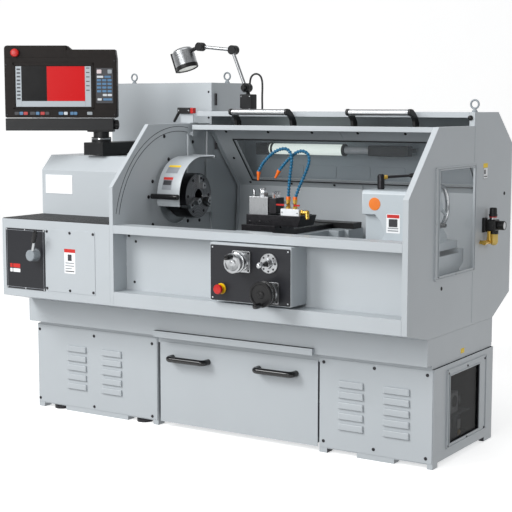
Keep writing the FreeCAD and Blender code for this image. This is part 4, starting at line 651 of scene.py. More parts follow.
class StageProperties(bpy.types.PropertyGroup):
    """The camera's place in the machine's drawing, in metres, and its lens."""
    eye: FloatVectorProperty(name="Eye", description="Where the camera stands", subtype="TRANSLATION", size=3,
                             default=(3.083, -4.801, 1.420))
    tilt: FloatProperty(name="Tilt", description="How far the camera looks down from level", subtype="ANGLE",
                        default=math.radians(6.71))
    turn: FloatProperty(name="Turn", description="How far the camera turns to the left of straight ahead",
                        subtype="ANGLE", default=math.radians(32.5))
    lens: FloatProperty(name="Lens", description="Focal length for a 36 mm wide picture", default=90.4,
                        min=20)


# ---------------------------------------------------------------- stage

class LATHE_OT_stage(bpy.types.Operator):
    """Sets the camera, a seamless pale floor and soft studio lights"""
    bl_idname = "lathe.stage"
    bl_label = "Stage"

    def execute(self, context):
        stage = context.scene.lathe_stage
        lens = bpy.data.cameras.new("camera")
        lens.sensor_width = 36
        lens.lens = stage.lens
        lens.clip_end = 100
        camera = bpy.data.objects.new("camera", lens)
        camera.location = DRAWING @ (Vector(stage.eye) / MM)
        camera.rotation_euler = (math.radians(90) - stage.tilt, 0, stage.turn)
        context.collection.objects.link(camera)
        context.scene.camera = camera
        context.scene.view_settings.view_transform = "Standard"

        sweep = bmesh.new()
        outline = [(-12, 0), (7, 0)] + [(7 + 3 * math.sin(math.radians(angle)),
                                         3 - 3 * math.cos(math.radians(angle)))
                                        for angle in range(10, 91, 10)] + [(10, 12)]
        verts = [sweep.verts.new((-16, along, height)) for along, height in outline]
        edges = [sweep.edges.new(pair) for pair in zip(verts, verts[1:])]
        grown = bmesh.ops.extrude_edge_only(sweep, edges=edges)["geom"]
        moved = [item for item in grown if isinstance(item, bmesh.types.BMVert)]
        bmesh.ops.translate(sweep, vec=(32, 0, 0), verts=moved)
        bmesh.ops.recalc_face_normals(sweep, faces=sweep.faces)
        bmesh.ops.rotate(sweep, cent=(0, 0, 0), matrix=Matrix.Rotation(stage.turn, 3, "Z"), verts=sweep.verts)
        mesh = bpy.data.meshes.new("floor")
        sweep.to_mesh(mesh)
        sweep.free()
        for polygon in mesh.polygons:
            polygon.use_smooth = True
        mesh.materials.append(coat("seamless studio paper"))
        floor = bpy.data.objects.new("floor", mesh)
        context.collection.objects.link(floor)
        floor.visible_diffuse = False

        world = bpy.data.worlds.new("studio")
        world.use_nodes = True
        background = world.node_tree.nodes["Background"]
        background.inputs["Color"].default_value = linear("#F4F5F7")
        background.inputs["Strength"].default_value = 0.40
        context.scene.world = world
        for name, spot, aim, power, width in (
                ("key light", (-3.2, -5.0, 4.6), (0, -0.2, 0.8), context.scene.lathe_looks.key_light, 3.0),
                ("front light", (0.6, -6.4, 2.2), (0, -0.2, 0.6), 150, 2.4),
                ("top light", (0.2, -0.6, 4.6), (0, 0, 0.8), 45, 3.0),
                ("side light", (5.0, 0.4, 2.6), (0.8, 0, 0.8), 36, 2.0)):
            lamp = bpy.data.lights.new(name, "AREA")
            lamp.energy = power
            lamp.size = width
            light = bpy.data.objects.new(name, lamp)
            light.location = spot
            light.rotation_euler = (Vector(aim) - Vector(spot)).to_track_quat("-Z", "Y").to_euler()
            context.collection.objects.link(light)
        return {"FINISHED"}


def spline_object(name, points, order=3):
    """A smooth open NURBS curve through control points in drawing millimetres, laid in the frame."""
    curve = bpy.data.curves.new(name, "CURVE")
    curve.dimensions = "3D"
    spline = curve.splines.new("NURBS")
    spline.points.add(len(points) - 1)
    for point, place in zip(spline.points, points):
        point.co = (*(DRAWING @ Vector(place)), 1)
    spline.order_u = order
    spline.use_endpoint_u = True
    spline.resolution_u = 12
    piece = bpy.data.objects.new(name, curve)
    bpy.context.collection.objects.link(piece)
    return piece


class LATHE_OT_lamp_lead(bpy.types.Operator):
    """The short black lead that loops from the work lamp's gland into the canopy"""
    bl_idname = "lathe.lamp_lead"
    bl_label = "Work lamp lead"

    def execute(self, context):
        route = [(-8, 118), (-8, 140), (2, 164), (26, 174), (50, 164), (60, 140), (61, 104), (59, 66),
                 (60, 32), (60, 0)]
        points = [(-163 + out, 254, 1390 + up) for out, up in route]
        lead = spline_object("lamp_lead_cord", points)
        lead.data.bevel_depth = 4.5 * MM
        lead.data.bevel_resolution = 5
        lead.data.materials.append(coat("moulded rubber"))
        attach(lead, "machine")
        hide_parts("lamp_lead")
        return {"FINISHED"}


# ---------------------------------------------------------------- sheet metal

def hex_screws(form, places, direction, radius, height, finish_name, socket=True):
    """Equal screws or plugs standing on one face."""
    form.use(finish_name)
    for centre in places:
        form.screw(centre, direction, radius, height, socket)


class LATHE_OT_cabinets(bpy.types.Operator):
    """The two base cabinets, their louvred panels with screws, the feet and the chip tray"""
    bl_idname = "lathe.cabinets"
    bl_label = "Base cabinets"

    def execute(self, context):
        radius = context.scene.lathe_looks.fold_radius / MM
        softened("left_cabinet", "machine", [PAINT], None, radius)
        # Inside, the right cabinet's faces get a near-black finish as painted shade, so the interior stays
        # dark behind its window.
        low, high = box_mm("right_cabinet")

        def finish_of(middle, direction):
            within = all(low[axis] + 1 < middle[axis] < high[axis] - 1 for axis in range(3))
            return 1 if within and direction.dot((low + high) / 2 - middle) > 0 else 0

        softened("right_cabinet", "machine", [PAINT, "dark key"], finish_of, radius)
        softened("chip_tray", "machine", [PAINT], None, radius)
        softened("louvre_panels", "machine", [PAINT], None, 0.8, 4)
        hoods = Form()
        hoods.use(PAINT)
        for start, end in ((-817, -706), (-613, -500), (618, 731), (821, 935)):
            for row in range(LOUVRE_ROWS):
                bottom = LOWEST_LOUVRE + LOUVRE_PITCH * row
                hoods.block((start, PANEL_FACE - 8.5, bottom - 0.5), (end, PANEL_FACE + 1, bottom + 28),
                            6.5, 4)
        hoods.finish("louvre_hoods", "machine")
        panel_screws = Form()
        left = [(-989, 371), (-660, 368), (-329, 366), (-992, 41), (-664, 38), (-330, 37)]
        right = [(547, 379), (778, 378), (1009, 376), (547, 50), (777, 47), (1006, 43)]
        hex_screws(panel_screws, [(x, PANEL_FACE, z) for x, z in left + right], (0, -1, 0), 7, 3.5,
                   BLACK_STEEL)
        panel_screws.finish("panel_screws", "machine")
        dress(["levelling_feet"], BLACK_STEEL)
        return {"FINISHED"}


class LATHE_OT_covers(bpy.types.Operator):
    """The gearbox case, the headstock cover and the electrical cabinet, with their plates and screws"""
    bl_idname = "lathe.covers"
    bl_label = "Headstock covers"

    def execute(self, context):
        radius = context.scene.lathe_looks.fold_radius / MM
        softened("gearbox_case", "machine", [PAINT], None, radius)
        softened("headstock_cover", "machine", [PAINT], None, radius)
        softened("electrical_cabinet", "machine", [PAINT], None, radius)
        dress(["top_mat"], "ribbed rubber mat")
        dress(["headstock"], CASTING)
        dress(["spindle"], "turned steel")

        plates = Form()
        plates.use("dark anodised aluminium").slab(rounded((-976, 597), (-745, 870), 4), "XZ", -534, FRONT,
                                                   0.5)
        plates.use(PAINT).slab(rounded((-739, 600), (-460, 875), 3), "XZ", -533, FRONT, 0.5)
        plates.use("white vinyl label").slab(rounded((-976, 1010), (-814, 1097), 3), "XZ", COVER_FACE - 2,
                                             COVER_FACE, 0.4)
        # A thin light line borders the dark plate, and small blank fields lie on both plates.
        plates.use("grey vinyl label")
        for low, high in (((-969, 604), (-752, 605.5)), ((-969, 861.5), (-752, 863)),
                          ((-969, 605), (-967.5, 862)), ((-753.5, 605), (-752, 862))):
            plates.block((low[0], -534.4, low[1]), (high[0], -533.8, high[1]), 0, 1)
        for low, high, finish_name, lift in (((-952, 692), (-938, 710), "red vinyl label", 0.4),
                                             ((-934, 692), (-892, 710), "red vinyl label", 0.4),
                                             ((-952, 672), (-938, 688), "white vinyl label", 0.4),
                                             ((-934, 672), (-892, 688), "white vinyl label", 0.4),
                                             ((-632, 778), (-570, 794), "red vinyl label", 0.4),
                                             ((-632, 686), (-570, 778), "white vinyl label", 0.4),
                                             ((-612, 742), (-590, 770), "dark vinyl label", 0.8),
                                             ((-626, 730), (-576, 734), "grey vinyl label", 0.8),
                                             ((-626, 718), (-576, 722), "grey vinyl label", 0.8),
                                             ((-626, 706), (-590, 710), "grey vinyl label", 0.8),
                                             ((-626, 694), (-576, 698), "dark vinyl label", 0.8)):
            base = -534 if high[0] < -745 else -533
            plates.use(finish_name).slab(rounded(low, high, 1.5, 2), "XZ", base - lift, base, 0)
        plates.use("dark vinyl label").spun([(0, 0), (0, 32), (1, 32), (1, 0)], (-795, -534, 757), (0, -1, 0),
                                            48)
        screws = [(-731, 865), (-600, 864), (-469, 865), (-734, 612), (-602, 610), (-470, 611)]
        hex_screws(plates, [(x, -533, z) for x, z in screws], (0, -1, 0), 6.5, 3.5, BLACK_STEEL)
        corners = [(x, z) for x in (-970, -861, -751) for z in (602, 865)]
        hex_screws(plates, [(x, -534, z) for x, z in corners], (0, -1, 0), 4, 2, GROUND)
        plates.finish("front_plates", "machine", ["blank_plates"])

        cabinet_screws = Form()
        seams = [(-930, 199.5, z) for z in (1220, 1480)] + [(-366, 199.5, z) for z in (1360, 1480)]
        hex_screws(cabinet_screws, seams, (0, -1, 0), 5, 3, BLACK_STEEL)
        cabinet_screws.use(BLACK_STEEL)
        for z in (1240, 1445):
            cabinet_screws.rod((-345, 230, z - 28), (-345, 230, z + 28), 6, None, 16, 1)
        cabinet_screws.finish("cabinet_screws", "machine")
        return {"FINISHED"}


class LATHE_OT_speed_lever(bpy.types.Operator):
    """The speed selector's hub and its grey lever with a black grip"""
    bl_idname = "lathe.speed_lever"
    bl_label = "Speed selector"

    def execute(self, context):
        lever = Form()
        lever.use("grey nylon").spun([(0, 0), (0, 27), (6, 27), (8, 25.5), (39, 25), (42, 22), (42, 0)],
                                     (-795, -535.3, 757), (0, -1, 0))
        lever.use(GROUND).spun([(0, 0), (0, 8), (84, 6), (88, 0)], (-795, -561, 757), (36, -22, 78), 24)
        lever.use(NYLON).spun([(0, 0), (0, 7), (5, 9), (36, 10.6), (50, 11), (56, 9), (59, 4), (59.6, 0)],
                              (-769, -580, 817), (24, -9, 54), 24)
        lever.finish("speed_lever_finished", "speed_selector", ["speed_lever"])
        return {"FINISHED"}


class LATHE_OT_enclosure(bpy.types.Operator):
    """The end panels, the front rail with its recess, the rear guard and their plugs"""
    bl_idname = "lathe.enclosure"
    bl_label = "Enclosure"

    def execute(self, context):
        radius = context.scene.lathe_looks.fold_radius / MM
        softened("left_end_wall", "machine", [PAINT], None, radius)
        softened("right_end_panel", "machine", [PAINT], None, radius)
        softened("front_frame", "machine", [PAINT], None, radius)
        softened("rear_guard", "machine", [PAINT, "powder coated back panel"],
                 lambda middle, direction: 1 if middle.y > 470 and direction.y < -0.5 else 0, radius)
        plugs = Form()
        front = [(-344, 859), (-307, 836), (-316, 660), (984, 852), (978, 650)]
        hex_screws(plugs, [(x, -441, z) for x, z in front], (0, -1, 0), 6, 3, NYLON, False)
        wall = [(-128, 1177), (-249, 1083), (-279, 1016), (-250, 891), (17, 888), (110, 885), (60, 1250),
                (-160, 1280)]
        hex_screws(plugs, [(LEFT_WALL, y, z) for y, z in wall], (1, 0, 0), 8.5, 3.5, BLACK_STEEL)
        plugs.finish("enclosure_plugs", "machine")

        # The guide track for the door's rollers, and the folded pilaster on the left wall.
        track = Form()
        track.use(BLACK_STEEL)
        middle = (HINGE.y, HINGE.z)
        for inner, outer in ((459.5, 461.5), (438.5, 440.5)):
            band = arc(middle, outer, 80, 168, 30) + arc(middle, inner, 168, 80, 30)
            track.slab(band, "YZ", LEFT_WALL, LEFT_WALL + 0.8)
        track.use(PAINT)
        for outline in ([(7, 900), (74, 900), (74, 1195), (7, 1290)],
                        [(147, 915), (198, 915), (221, 1330), (165, 1330)]):
            track.slab(outline, "YZ", LEFT_WALL, LEFT_WALL + 12, 5, 2)
        track.finish("roller_track", "machine")

        # The blue-grey back wall's pressed panels.
        pressed = Form()
        pressed.use("powder coated back panel")
        for start in (-160, 18, 196, 374, 552, 730):
            pressed.slab(rounded((start, 1079), (start + 147, 1136), 9), "XZ", 477, 481, 1.6)
        pressed.finish("pressed_panels", "machine")
        return {"FINISHED"}


# ---------------------------------------------------------------- door

WINDOW_LOW = 76
WINDOW_HIGH = 313
SLOPE = math.radians(45.55)
SHOULDER = Vector((0, -473, 211))
ALONG = Vector((0, math.cos(SLOPE), math.sin(SLOPE)))
INWARD = Vector((0, math.sin(SLOPE), -math.cos(SLOPE)))


def on_slope(x, along, depth):
    """A place on the closed door's sloping face, by its distance from the shoulder and its depth inside."""
    return SHOULDER + Vector((x, 0, 0)) + ALONG * along + INWARD * depth


class LATHE_OT_door(bpy.types.Operator):
    """The roll-over door: its folded sheet, window, plugs and the two bow handles"""
    bl_idname = "lathe.door"
    bl_label = "Door"

    def execute(self, context):
        radius = context.scene.lathe_looks.fold_radius / MM
        softened("door_shell", "door", [PAINT], None, radius)
        dress(["door_window"], "clear polycarbonate")
        fittings = Form(DOOR)
        places = [on_slope(x, along, 3) for x in (-272, -41, 190, 421, 652, 883) for along in (22, 346)]
        places += [on_slope(x, 190, 3) for x in (-300, 940)]
        hex_screws(fittings, places, INWARD, 6.5, 3.5, NYLON, False)
        # A rubber edge around the window opening, on the inner side.
        fittings.use("moulded rubber")
        lean = Matrix.Rotation(SLOPE, 4, "X")
        for x_low, x_high, low, high in ((-251, 907, WINDOW_LOW - 14, WINDOW_LOW - 9),
                                         (-251, 907, WINDOW_HIGH + 9, WINDOW_HIGH + 14),
                                         (-251, -246, WINDOW_LOW - 9, WINDOW_HIGH + 9),
                                         (902, 907, WINDOW_LOW - 9, WINDOW_HIGH + 9)):
            middle = on_slope((x_low + x_high) / 2, (low + high) / 2, 10)
            half = Vector(((x_high - x_low) / 2, (high - low) / 2, 2))
            fittings.block(-half, half, 0.6, 1, Matrix.Translation(middle) @ lean)
        # The folded seam strip above and below the window.
        fittings.use(PAINT)
        for low, high in ((18, WINDOW_LOW - 14), (WINDOW_HIGH + 14, 362)):
            seam = on_slope(328, (low + high) / 2, 5)
            half = (high - low) / 2
            fittings.block((-9, -half, -1.6), (9, half, 1.6), 0.8, 1, Matrix.Translation(seam) @ lean)
        fittings.finish("door_fittings", "door")

        handles = Form(DOOR)
        for low, high in ((-99, 176), (491, 766)):
            handles.use(GROUND)
            handles.spun([(0, 0), (0, 13), (high - low, 13), (high - low, 0)], (low, -529, 12), (1, 0, 0), 40)
            handles.use(ENAMEL)
            for start in (low - 14, high):
                outline = [(-473, 52), (-473, 92), (-494, 88), (-516, 70), (-530, 52), (-538, 36), (-543, 26),
                           (-544, 8), (-540, -2), (-530, -4), (-520, -2), (-515, 8), (-514, 22), (-506, 36),
                           (-496, 46)]
                handles.slab(outline, "YZ", start, start + 14, 2.5, 3)
                handles.rod((start + 7, -474, 60), (start + 7, -470.5, 60), 6)
        handles.finish("door_handles_finished", "door", ["door_handles"])
        return {"FINISHED"}


class LATHE_OT_tube_lamp(bpy.types.Operator):
    """The sealed tube lamp along the back of the enclosure"""
    bl_idname = "lathe.tube_lamp"
    bl_label = "Tube lamp"

    def execute(self, context):
        lamp = Form()
        y, z = 384, 1214
        lamp.use("frosted lamp sleeve").spun([(0, 0), (0, 23), (4, 25), (391, 25), (395, 23), (395, 0)],
                                             (-135, y, z), (1, 0, 0))
        lamp.use("light grey key").spun([(0, 0), (0, 16), (132, 16), (132, 0)], (260, y, z), (1, 0, 0))
        lamp.use(NYLON)
        lamp.block((-205, y - 28, z - 28), (-135, y + 28, z + 28), 5, 3)
        lamp.block((390, y - 24, z - 24), (590, y + 24, z + 24), 5, 3)
        for along in (-125, 255):
            lamp.spun([(0, 0), (0, 28), (10, 28), (10, 0)], (along, y, z), (1, 0, 0))
        for x in (-185, 545):
            lamp.block((x, y + 20, z - 10), (x + 30, 481, z + 10), 1.5)
        lamp.rod((-204, y, z - 6), (-204, y + 60, z - 6), 6)
        lamp.finish("tube_lamp_finished", "machine", ["tube_lamp"])
        return {"FINISHED"}


# ---------------------------------------------------------------- spindle and carriage

class LATHE_OT_chuck(bpy.types.Operator):
    """The three-jaw chuck with its scroll screws and stepped jaws"""
    bl_idname = "lathe.chuck"
    bl_label = "Chuck"

    def execute(self, context):
        def finish_of(middle, direction):
            return 1 if direction.x > 0.9 and middle.x > -240 else 0

        softened("chuck_body", "spindle_unit", [BLACK_STEEL, "turned steel"], finish_of, 1.5)
        details = Form()
        axis = Vector((1, 0, 0))
        front = Vector((-235, SPINDLE.y, SPINDLE.z))
        details.use("turned steel")
        for radius, width in ((95, 2.0), (66, 1.5), (44, 1.5), (32, 3.0)):
            details.spun([(0, radius - width), (1.4, radius - width + 0.5), (1.4, radius + width - 0.5),
                          (0, radius + width)], front - axis * 0.5, axis, 64)
        for turn in range(6):
            angle = math.radians(60 * turn)
            out = Vector((0, math.cos(angle), math.sin(angle)))
            details.use(BLACK_STEEL).screw(front + out * 80, axis, 7, 2.5)
        # The square key sockets around the rim, between the jaws.
        for turn in range(3):
            angle = math.radians(30 + 120 * turn)
            out = Vector((0, math.cos(angle), math.sin(angle)))
            rim = Vector((-290, SPINDLE.y, SPINDLE.z)) + out * 98
            details.use(BLACK_STEEL).spun([(0, 15), (3.4, 15), (3.4, 9), (1.2, 8), (1.2, 0)], rim, out, 24)
        details.finish("chuck_details", "spindle_unit")

        for index in range(3):
            softened(f"chuck_jaw_{index + 1}", f"jaw_{index + 1}", [GROUND], None, 1)
            angle = math.radians(90 + 120 * index)
            out = Vector((0, math.cos(angle), math.sin(angle)))
            steps = Form()
            steps.use(BLACK_STEEL)
            steps.screw(Vector((-221, SPINDLE.y, SPINDLE.z)) + out * 78, axis, 6.5, 5)
            steps.screw(Vector((-200.2, SPINDLE.y, SPINDLE.z)) + out * 46, axis, 5, 1.5)
            steps.finish(f"chuck_jaw_{index + 1}_screws", f"jaw_{index + 1}")
        return {"FINISHED"}


class LATHE_OT_chuck_guard(bpy.types.Operator):
    """The curved guard over the chuck with its blank labels and black bow handle"""
    bl_idname = "lathe.chuck_guard"
    bl_label = "Chuck guard"

    def execute(self, context):
        def finish_of(middle, direction):
            return 1 if middle.y < -250.5 else 0

        softened("chuck_guard", "guard", [PAINT, "glossy black nylon"], finish_of, 0.6, 8)
        labels = Form()
        middle = (SPINDLE.y, SPINDLE.z)
        for finish_name, low, high, first, last in (
                ("yellow vinyl label", -312, -250, 128, 132), ("grey vinyl label", -312, -250, 132, 143),
                ("red vinyl label", -312, -262, 150, 154), ("grey vinyl label", -312, -262, 154, 169),
                ("dark vinyl label", -308, -266, 155, 162)):
            top = 176.2 if finish_name == "dark vinyl label" else 175.6
            band = arc(middle, top, first, last, 8) + arc(middle, 174.6, last, first, 8)
            labels.use(finish_name).slab(band, "YZ", low, high)
        labels.use(GROUND)
        labels.rod((-336, 26, 1186), (-330, 26, 1186), 6.5, None, 20, 0.6)
        labels.finish("guard_labels", "guard")
        pin = Form()
        pin.use("chromium plate").ball((-212.5, 26, 1186), 4.4, (0.5, 1, 1), 16)
        pin.finish("guard_pin_end", "machine")
        return {"FINISHED"}


class LATHE_OT_bed(bpy.types.Operator):
    """The cast bed with its ground ways"""
    bl_idname = "lathe.bed"
    bl_label = "Bed"

    def execute(self, context):
        def finish_of(middle, direction):
            return 1 if direction.z > 0.3 and middle.z > LOWEST_WAY else 0

        softened("bed", "machine", [CASTING, "ground cast iron"], finish_of, 1.5)
        return {"FINISHED"}


class LATHE_OT_carriage(bpy.types.Operator):
    """The saddle, the cross slide with its black way cover, and the sloped tool plate"""
    bl_idname = "lathe.carriage"
    bl_label = "Carriage"

    def execute(self, context):
        softened("saddle", "saddle_unit", [CASTING, "blue acetal"],
                 lambda middle, direction: 1 if 188 < middle.y < 204.5 and middle.z < 867 else 0, 1.5)

        def plate_finish(middle, direction):
            return 0 if middle.z < WAY_COVER_TOP or middle.y > TOOL_PLATE_REAR else 1

        softened("cross_slide", "cross_slide_unit", [NYLON, BLACK_STEEL], plate_finish, 1.2)
        details = Form()
        # Folds of the way cover, and its light wiper strip.
        details.use(NYLON)
        for step in range(9):
            y = -80 + step * 38
            details.slab([(y, 887), (y + 32, 887), (y + 30, 889.5), (y + 3, 889.5)], "YZ", 97, 273, 0.5, 1)
        details.use("grey nylon").block((96, -268, 870), (274, -262, 892), 1)
        hex_screws(details, [(x, -246, 930) for x in (150, 200)], (0, -1, 0), 6.5, 3, BLACK_STEEL)
        hex_screws(details, [(x, y, 961) for x in (345, 380) for y in (-150, -130)], (0, 0, 1), 5, 2.5,
                   BLACK_STEEL)
        details.finish("slide_details", "cross_slide_unit")

        post = Form()
        post.use(GROUND)
        post.block((143, -240, 961), (235, -148, 1036), 1.6)
        post.use(BLACK_STEEL)
        post.block((236, -234, 967), (271, -166, 1032), 1.5)
        post.block((235, -228, 984), (243, -172, 1016), 1)
        post.use(GROUND).spun([(0, 0), (0, 19), (3, 20), (14, 20), (16, 17), (24, 15), (24, 10), (34, 9),
                               (34, 0)],
                              (189, -194, 1036), (0, 0, 1), 6)
        post.use("chromium plate")
        for x, y in ((159, -224), (159, -170)):
            post.spun([(0, 0), (0, 7), (24, 7), (28, 5), (28, 0)], (x, y, 1036), (0, 0, 1), 20)
        for y in (-222, -200, -178):
            post.spun([(0, 0), (0, 6), (12, 6), (12, 8), (24, 8), (26, 6), (26, 0)], (253, y, 1032),
                      (0, 0, 1), 6)
        post.use(GROUND).block((245, -166, 995), (265, -142, 1015), 1)
        post.use("turned brass").slab([(-142, 1000), (-136, 1009), (-142, 1015)], "YZ", 249, 263, 0.5)
        post.finish("tool_post_finished", "cross_slide_unit", ["tool_post"])
        return {"FINISHED"}


def follow(points, pitch):
    """Evenly spaced places and directions along the smooth curve through control points."""
    guide = spline_object("guide", points)
    mesh = bpy.data.meshes.new_from_object(guide)
    back = DRAWING.inverted()
    line = [back @ vertex.co for vertex in mesh.vertices]
    bpy.data.objects.remove(guide)
    bpy.data.meshes.remove(mesh)
    places = []
    wanted = 0.0
    travelled = 0.0
    for first, last in zip(line, line[1:]):
        step = (last - first).length
        while step > 0 and wanted <= travelled + step:
            places.append((first.lerp(last, (wanted - travelled) / step), (last - first).normalized()))
            wanted += pitch
        travelled += step
    return places, line[-1]


class LATHE_OT_coolant(bpy.types.Operator):
    """The coolant manifold, its brass valves with red levers, and the two segmented hoses"""
    bl_idname = "lathe.coolant"
    bl_label = "Coolant hoses"

    def execute(self, context):
        manifold = Form()
        manifold.use("white nylon").block((297, -238, 961), (385, -196, 990), 2)
        hex_screws(manifold, [(x, -238, 975) for x in (305, 377)], (0, -1, 0), 4, 2, GROUND)
        manifold.use("turned brass")
        for x in (323, 356):
            manifold.spun([(0, 0), (0, 11), (9, 11), (9, 8.5), (30, 8.5), (30, 11), (38, 11), (38, 0)],
                          (x, -218, 990), (0, 0, 1), 6)
            manifold.spun([(0, 0), (0, 7.5), (12, 7.5), (14, 6), (17, 6), (17, 0)], (x, -218, 1006),
                          (0, -1, 0), 24)
        manifold.spun([(0, 0), (0, 12), (10, 12), (10, 9), (30, 9), (30, 0)], (385, -218, 975), (1, 0, 0), 6)
        manifold.ball((413, -218, 976), 11)
        manifold.spun([(0, 0), (0, 9), (22, 9.5), (31, 8), (31, 0)], (413, -218, 979), (5, -6, -30), 20)
        manifold.finish("coolant_manifold_finished", "cross_slide_unit", ["coolant_manifold"])

        for index, (x, reach) in enumerate(((323, -46), (356, 34))):
            lever = Form()
            lever.use("chromium plate").spun([(0, 0), (0, 7), (6, 6), (6, 0)], (x, -235.3, 1006), (0, -1, 0),
                                             20)
            lever.use("red nylon")
            low, high = sorted((x, x + reach))
            lever.slab(rounded((low, 1002.5), (high, 1009.5), 3.3), "XZ", -239.8, -236.3, 1)
            lever.finish(f"valve_lever_{index + 1}_finished", f"valve_{index + 1}",
                         [f"valve_lever_{index + 1}"])

        start = Vector((185, -218, 961))
        routes = [[(138, 0, 70), (142, -3, 108), (148, -8, 146), (156, -11, 190), (162, -12, 232),
                   (156, -12, 264), (132, -12, 280), (98, -12, 274), (64, -12, 256), (34, -12, 230),
                   (12, -12, 204), (0, -12, 180)],
                  [(171, 0, 70), (180, 3, 102), (193, 8, 134), (208, 11, 166), (222, 12, 198), (232, 12, 230),
                   (226, 12, 258), (200, 12, 271), (170, 12, 264), (142, 12, 243), (114, 11, 217),
                   (89, 8, 187)]]
        tips = [(-3, -12, 144), (70, 7, 154)]
        hoses = Form()
        pitch = context.scene.lathe_looks.hose_pitch / MM
        for route, tip in zip(routes, tips):
            places, end = follow([start + Vector(point) for point in route], pitch)
            hoses.use("blue acetal")
            for place, direction in places:
                hoses.spun([(-1, 0), (-1, 5.2), (1.5, 7.6), (4.5, 7.8), (6.5, 5.8), (9, 4.6), (12.6, 5),
                            (12.6, 0)],
                           place, direction, 16)
            hoses.use("orange acetal")
            first = start + Vector(route[0])
            hoses.spun([(-3, 0), (-3, 9.4), (6, 9.4), (9, 8), (9, 0)], first, (0, 0, 1), 20)
            run = start + Vector(tip) - end
            hoses.spun([(0, 0), (0, 8.6), (9, 8.8), (11, 7.4), (run.length, 4.4), (run.length, 3),
                        (run.length - 2, 0)],
                       end, run, 20)
        hoses.finish("coolant_hoses_finished", "cross_slide_unit", ["coolant_hoses"])
        return {"FINISHED"}


class LATHE_OT_tailstock(bpy.types.Operator):
    """The tailstock casting with its labels, the quill, the clamp lever and the handwheel"""
    bl_idname = "lathe.tailstock"
    bl_label = "Tailstock"

    def execute(self, context):
        softened("tailstock_body", "tailstock", [CASTING], None, 5, 20)
        labels = Form()
        face = -150
        labels.use("white vinyl label").slab(rounded((745, 905), (806, 982), 3), "XZ", face - 0.6, face, 0.1,
                                             1)
        labels.use("red vinyl label").slab(rounded((748, 966), (803, 980), 2), "XZ", face - 1, face - 0.5, 0)
        labels.use("dark vinyl label").slab(rounded((756, 930), (795, 962), 2), "XZ", face - 1, face - 0.5, 0)
        labels.use("grey vinyl label")
        for low in (912, 922):
            labels.slab(rounded((752, low), (799, low + 5), 1), "XZ", face - 1, face - 0.5, 0)
        labels.use("orange vinyl label").spun([(0, 0), (0, 26), (1.4, 26), (2, 24), (2, 0)],
                                              (691, face, 1020), (0, -1, 0), 40)
        hex_screws(labels, [(x, -215, 854) for x in (740, 800, 860, 930)], (0, -1, 0), 7, 4, BLACK_STEEL)
        labels.finish("tailstock_labels", "tailstock")

        softened("tailstock_quill", "quill", [GROUND], None, 0.8)
        clamp = Form()
        base = Vector((680, SPINDLE.y, 1075.3))
        clamp.use(BLACK_STEEL).spun([(0, 0), (0, 13), (4, 15), (54, 15), (58, 13), (62, 9), (62, 0)], base,
                                    (0, 0, 1), 32)
        reach = Vector((math.cos(math.radians(30)), math.sin(math.radians(30)), 0.07)) * 150
        start = base + Vector((0, 0, 48))
        clamp.use("turned brass").rod(start + reach * 0.06, start + reach * 0.18, 9, None, 24)
        clamp.use(BLACK_STEEL).rod(start, start + reach * 0.85, 6, 5, 20)
        clamp.use(NYLON).spun([(0, 0), (0, 7), (4, 9), (40, 11), (48, 9.5), (50, 6), (50, 0)],
                              start + reach * 0.77, reach, 24)
        clamp.finish("tailstock_clamp_finished", "tail_clamp", ["tailstock_clamp_lever"])

        wheel = Form()
        middle = Vector((941.3, SPINDLE.y, SPINDLE.z))
        axis = Vector((1, 0, 0))
        wheel.use("chromium plate").ring(middle, axis, 82, 9.6)
        wheel.use(CASTING).spun([(-36, 0), (-36, 22), (-30, 24), (-10, 24), (0, 20), (8, 18), (8, 0)], middle,
                                axis)
        for turn in range(3):
            angle = math.radians(90 + 120 * turn)
            out = Vector((0, math.cos(angle), math.sin(angle)))
            wheel.rod(middle + out * 14, middle + out * 80, 8, 6, 20)
        knob = middle + Vector((0, -82 * math.cos(math.radians(60)), -82 * math.sin(math.radians(60))))
        wheel.use("chromium plate").rod(knob, knob + axis * 14, 6, None, 20)
        wheel.use(NYLON).spun([(0, 0), (0, 7), (6, 9), (30, 9), (37, 7), (39, 4), (39, 0)], knob + axis * 13,
                              axis, 24)
        wheel.use(GROUND).rod(middle - axis * 95, middle - axis * 36, 9, None, 24)
        wheel.finish("tailstock_wheel_finished", "tail_wheel", ["tailstock_wheel"])
        return {"FINISHED"}


# ---------------------------------------------------------------- controls

def handwheel(form, middle, radius, rim_finish, centre_finish, marks, crank_angle):
    """A dial handwheel that faces the operator: a graduated collar, a dished disc and a crank handle."""
    toward = Vector((0, -1, 0))
    form.use(rim_finish).spun([(0, 0), (0, radius - 3), (2, radius), (9, radius), (11, radius - 4),
                               (24, radius - 4),
                               (26, radius), (33, radius), (36, radius - 3), (36, radius - 8),
                               (32, radius - 12),
                               (31, 16), (34, 13), (34, 0)], middle, toward, 64)
    form.use("white vinyl label")
    for step in range(marks):
        angle = math.tau * step / marks
        out = Vector((math.cos(angle), 0, math.sin(angle)))
        spot = middle + out * (radius - 3.9) + toward * 17
        turn = Matrix.Translation(spot) @ Matrix.Rotation(-angle, 4, "Y")
        form.block((-0.3, -3 if step % 5 else -5, -0.5), (0.3, 3 if step % 5 else 5, 0.5), 0, 1, turn)
    reach = radius - 12
    out = Vector((math.cos(math.radians(crank_angle)), 0, math.sin(math.radians(crank_angle)))) * reach
    form.use("chromium plate").rod(middle + out + toward * 34, middle + out + toward * 46, 5, None, 20)
    form.use("glossy black nylon").spun([(0, 0), (0, 8), (5, 11), (26, 11.6), (42, 10), (47, 6), (48, 0)],
                                        middle + out + toward * 44, toward, 28)
    form.use(centre_finish).screw(middle + toward * 34, toward, 9, 2)


